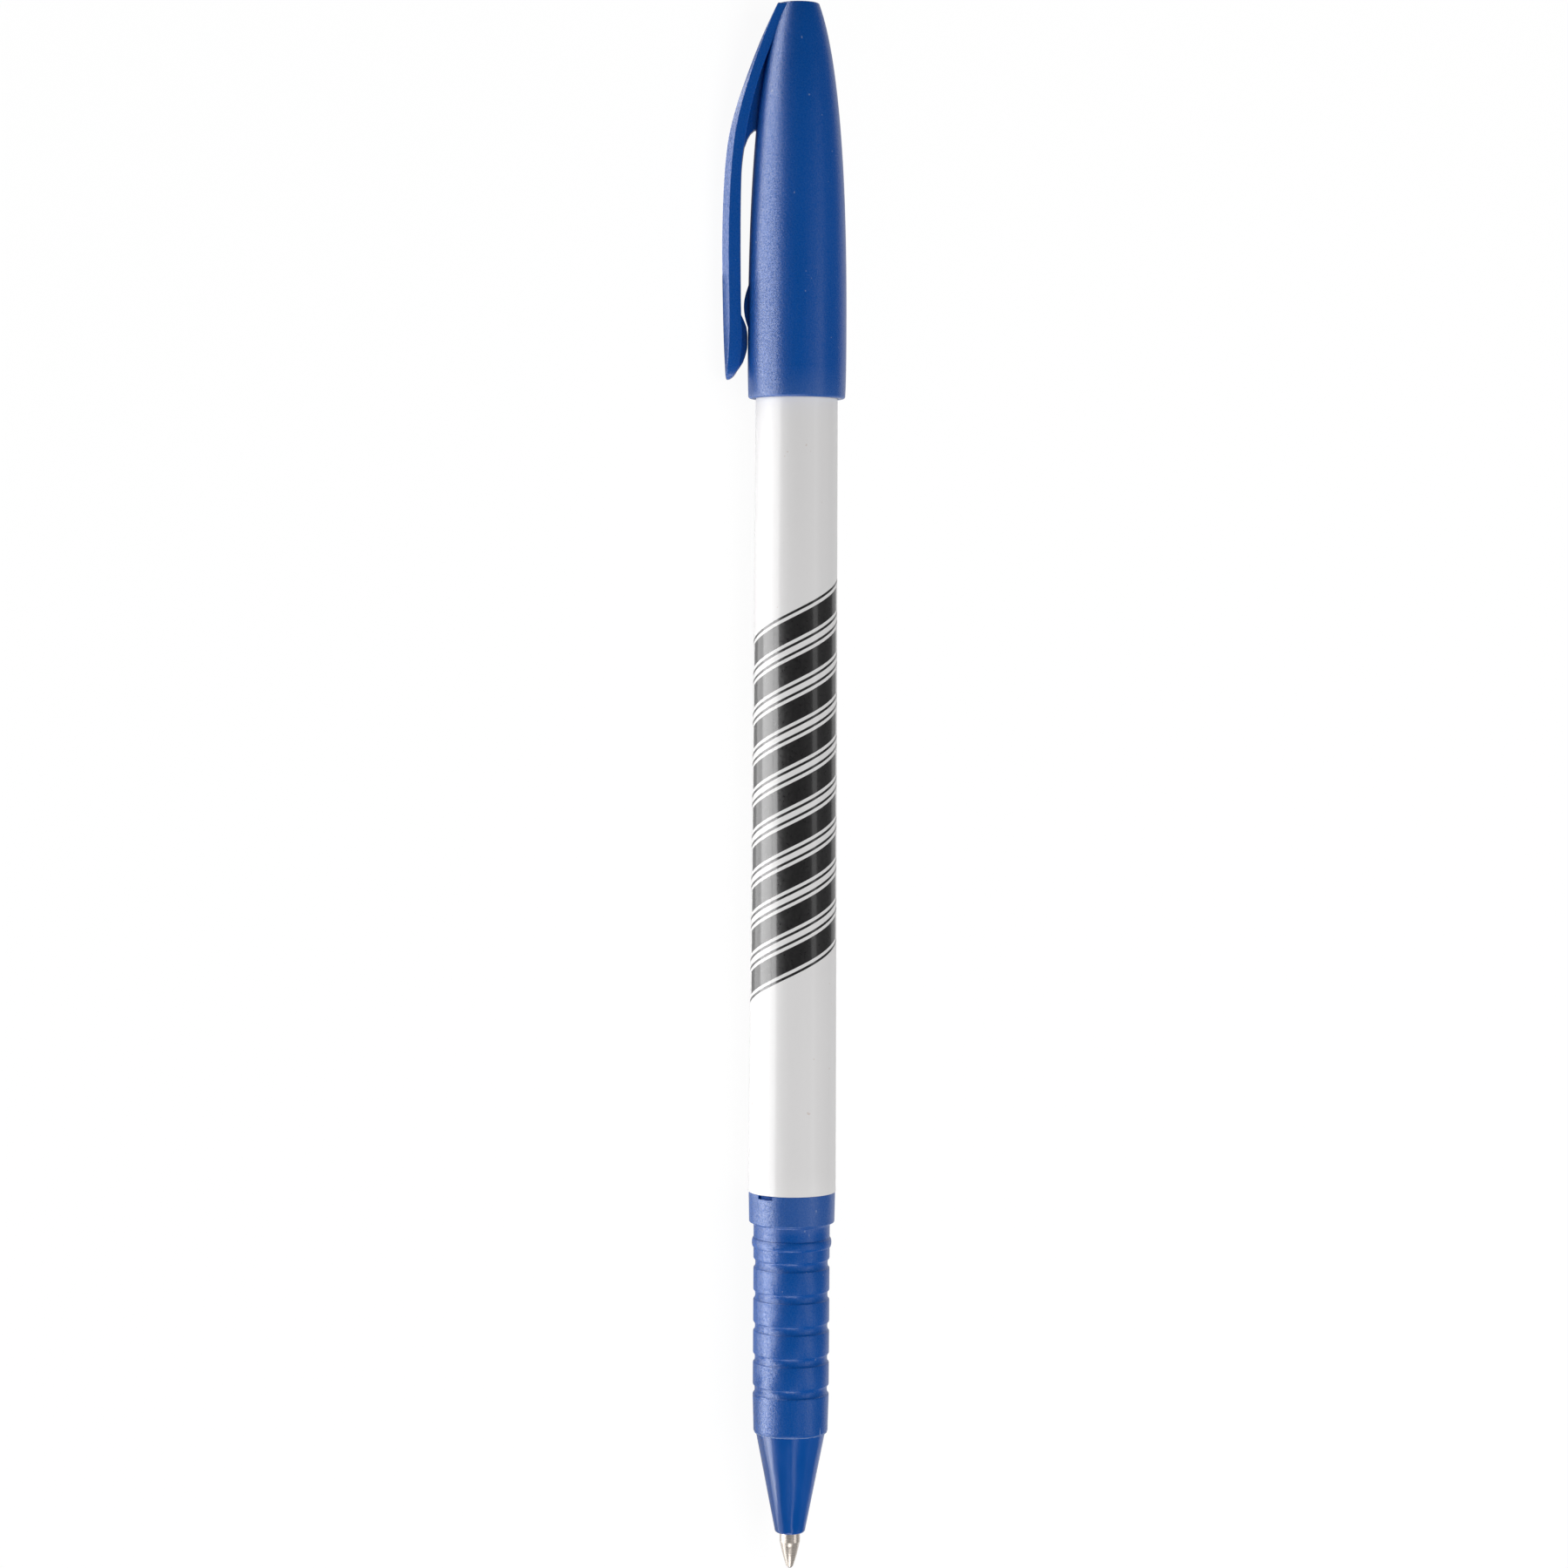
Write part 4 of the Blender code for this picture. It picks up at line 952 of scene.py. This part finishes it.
scene = bpy.context.scene
world = bpy.data.worlds.new("studio_air")
world.use_nodes = True
nodes, links = world.node_tree.nodes, world.node_tree.links
nodes["Background"].inputs["Color"].default_value = (1, 1, 1, 1)
AIR_SEEN = (("Is Camera Ray", 1.0), ("Is Glossy Ray", 0.08), ("Is Transmission Ray", 0.5))
AIR_LIGHT = 0.05
strength = combine(nodes, links, "MAXIMUM", brightest_ray(nodes, links, AIR_SEEN), AIR_LIGHT)
links.new(strength, nodes["Background"].inputs["Strength"])
scene.world = world


def lamp(name, place, aim, size, brightness, along=(1, 0, 0), only=None):
    """A rectangular lamp facing a point, its (length, width) laid along a way.

    It lights everything, or only the gloss of surfaces ("sheen"), or only their colour ("fill").
    """
    data = bpy.data.lights.new(name, "AREA")
    data.shape = "RECTANGLE"
    data.size, data.size_y = size
    data.energy = brightness * math.pi * size[0] * size[1]
    light = bpy.data.objects.new(name, data)
    light.location = place
    light.rotation_mode = "QUATERNION"
    back = (Vector(place) - Vector(aim)).normalized()
    across = back.cross(Vector(along)).normalized()
    turn = Matrix((across.cross(back), across, back)).transposed()
    light.rotation_quaternion = turn.to_quaternion()
    light.visible_camera = False
    light.visible_diffuse = only != "sheen"
    light.visible_glossy = only != "fill"
    scene.collection.objects.link(light)


def card(name, place, size, brightness, only=None):
    """A bright card that lies on the desk and faces straight up."""
    lamp(name, place, (place[0], place[1], 1), size, brightness, only=only)


WINDOW_AIM, WINDOW_SIZE = (-0.0075, 0, 0.037), (0.285, 0.074)
GRIP_AIM, GRIP_SIZE = (0.117, 0, 0.037), (0.055, 0.074)
lamp("low_window", (-0.0075, -0.30, 0.037), WINDOW_AIM, WINDOW_SIZE, 1.8)
lamp("low_window_sheen", (-0.0075, -0.302, 0.037), WINDOW_AIM, WINDOW_SIZE, 4.7, only="sheen")
lamp("grip_window", (0.117, -0.303, 0.037), GRIP_AIM, GRIP_SIZE, 1.5, only="sheen")
card("desk_card", (-0.0125, -0.08025, 0.0007), (0.225, 0.1395), 0.4)
card("desk_card_sheen", (-0.0185, -0.08025, 0.0005), (0.213, 0.1395), 5.9, "sheen")
card("desk_card_end", (0.200, -0.08025, 0.0006), (0.200, 0.1395), 0.5)
card("foot_card", (0.011, -0.0080, 0.0006), (0.110, 0.0048), 2.0)
card("grip_card", (0.063, -0.046, 0.0004), (0.026, 0.070), 2.0, "sheen")
card("nose_card", (0.087, -0.0085, 0.0006), (0.036, 0.004), 2.6, "sheen")
card("root_card", (-0.075, -0.0080, 0.0006), (0.035, 0.0050), 4.0, "sheen")
lamp("overhead_fill", (0.06, 0.08, 0.64), (0, 0, 0), (0.5, 0.4), 3.75, only="fill")
lamp("overhead_strip", (0.02, 0.275, 0.58), (0.02, 0, 0), (0.50, 0.16), 1.25)
lamp("overhead_end", (0.27, 0.37, 0.53), (0.07, 0, 0), (0.22, 0.26), 1.0)
SLANTED_PLACE, SLANTED_AIM = (0.41, -0.113, 0.561), (0.26, -0.193, -0.039)
lamp("slanted_strip", SLANTED_PLACE, SLANTED_AIM, (0.28, 0.09), 2.0, (0.82, -0.57, 0))
lamp("back_card", (0.15, 0.50, 0.26), (0.05, 0, 0), (1.4, 0.48), 0.08)
lamp("end_window", (0.62, -0.16, 0.24), (0.05, 0, 0), (0.34, 0.34), 4.0, (0, 1, 0))

# The camera's place, its tilt down and its lean are set in the frame of the upright pen.
eye = bpy.data.cameras.new("camera")
eye.lens = 85
eye.sensor_width = 36
eye.clip_start = 0.01
camera = bpy.data.objects.new("camera", eye)
scene.collection.objects.link(camera)
scene.camera = camera
TILT = math.radians(2.63)
EYE = Vector((-1.16 * MM, -412.0 * MM, 107.185 * MM))
LEAN = math.radians(0.344)
look = Vector((0, math.cos(TILT), -math.sin(TILT)))
right = Vector((1, 0, 0))
stance = Matrix((right, right.cross(look), look * -1)).transposed() @ Matrix.Rotation(LEAN, 3, "Z")
camera.matrix_world = LAID @ Matrix.Translation(EYE) @ stance.to_4x4()

scene.view_settings.view_transform = "Standard"
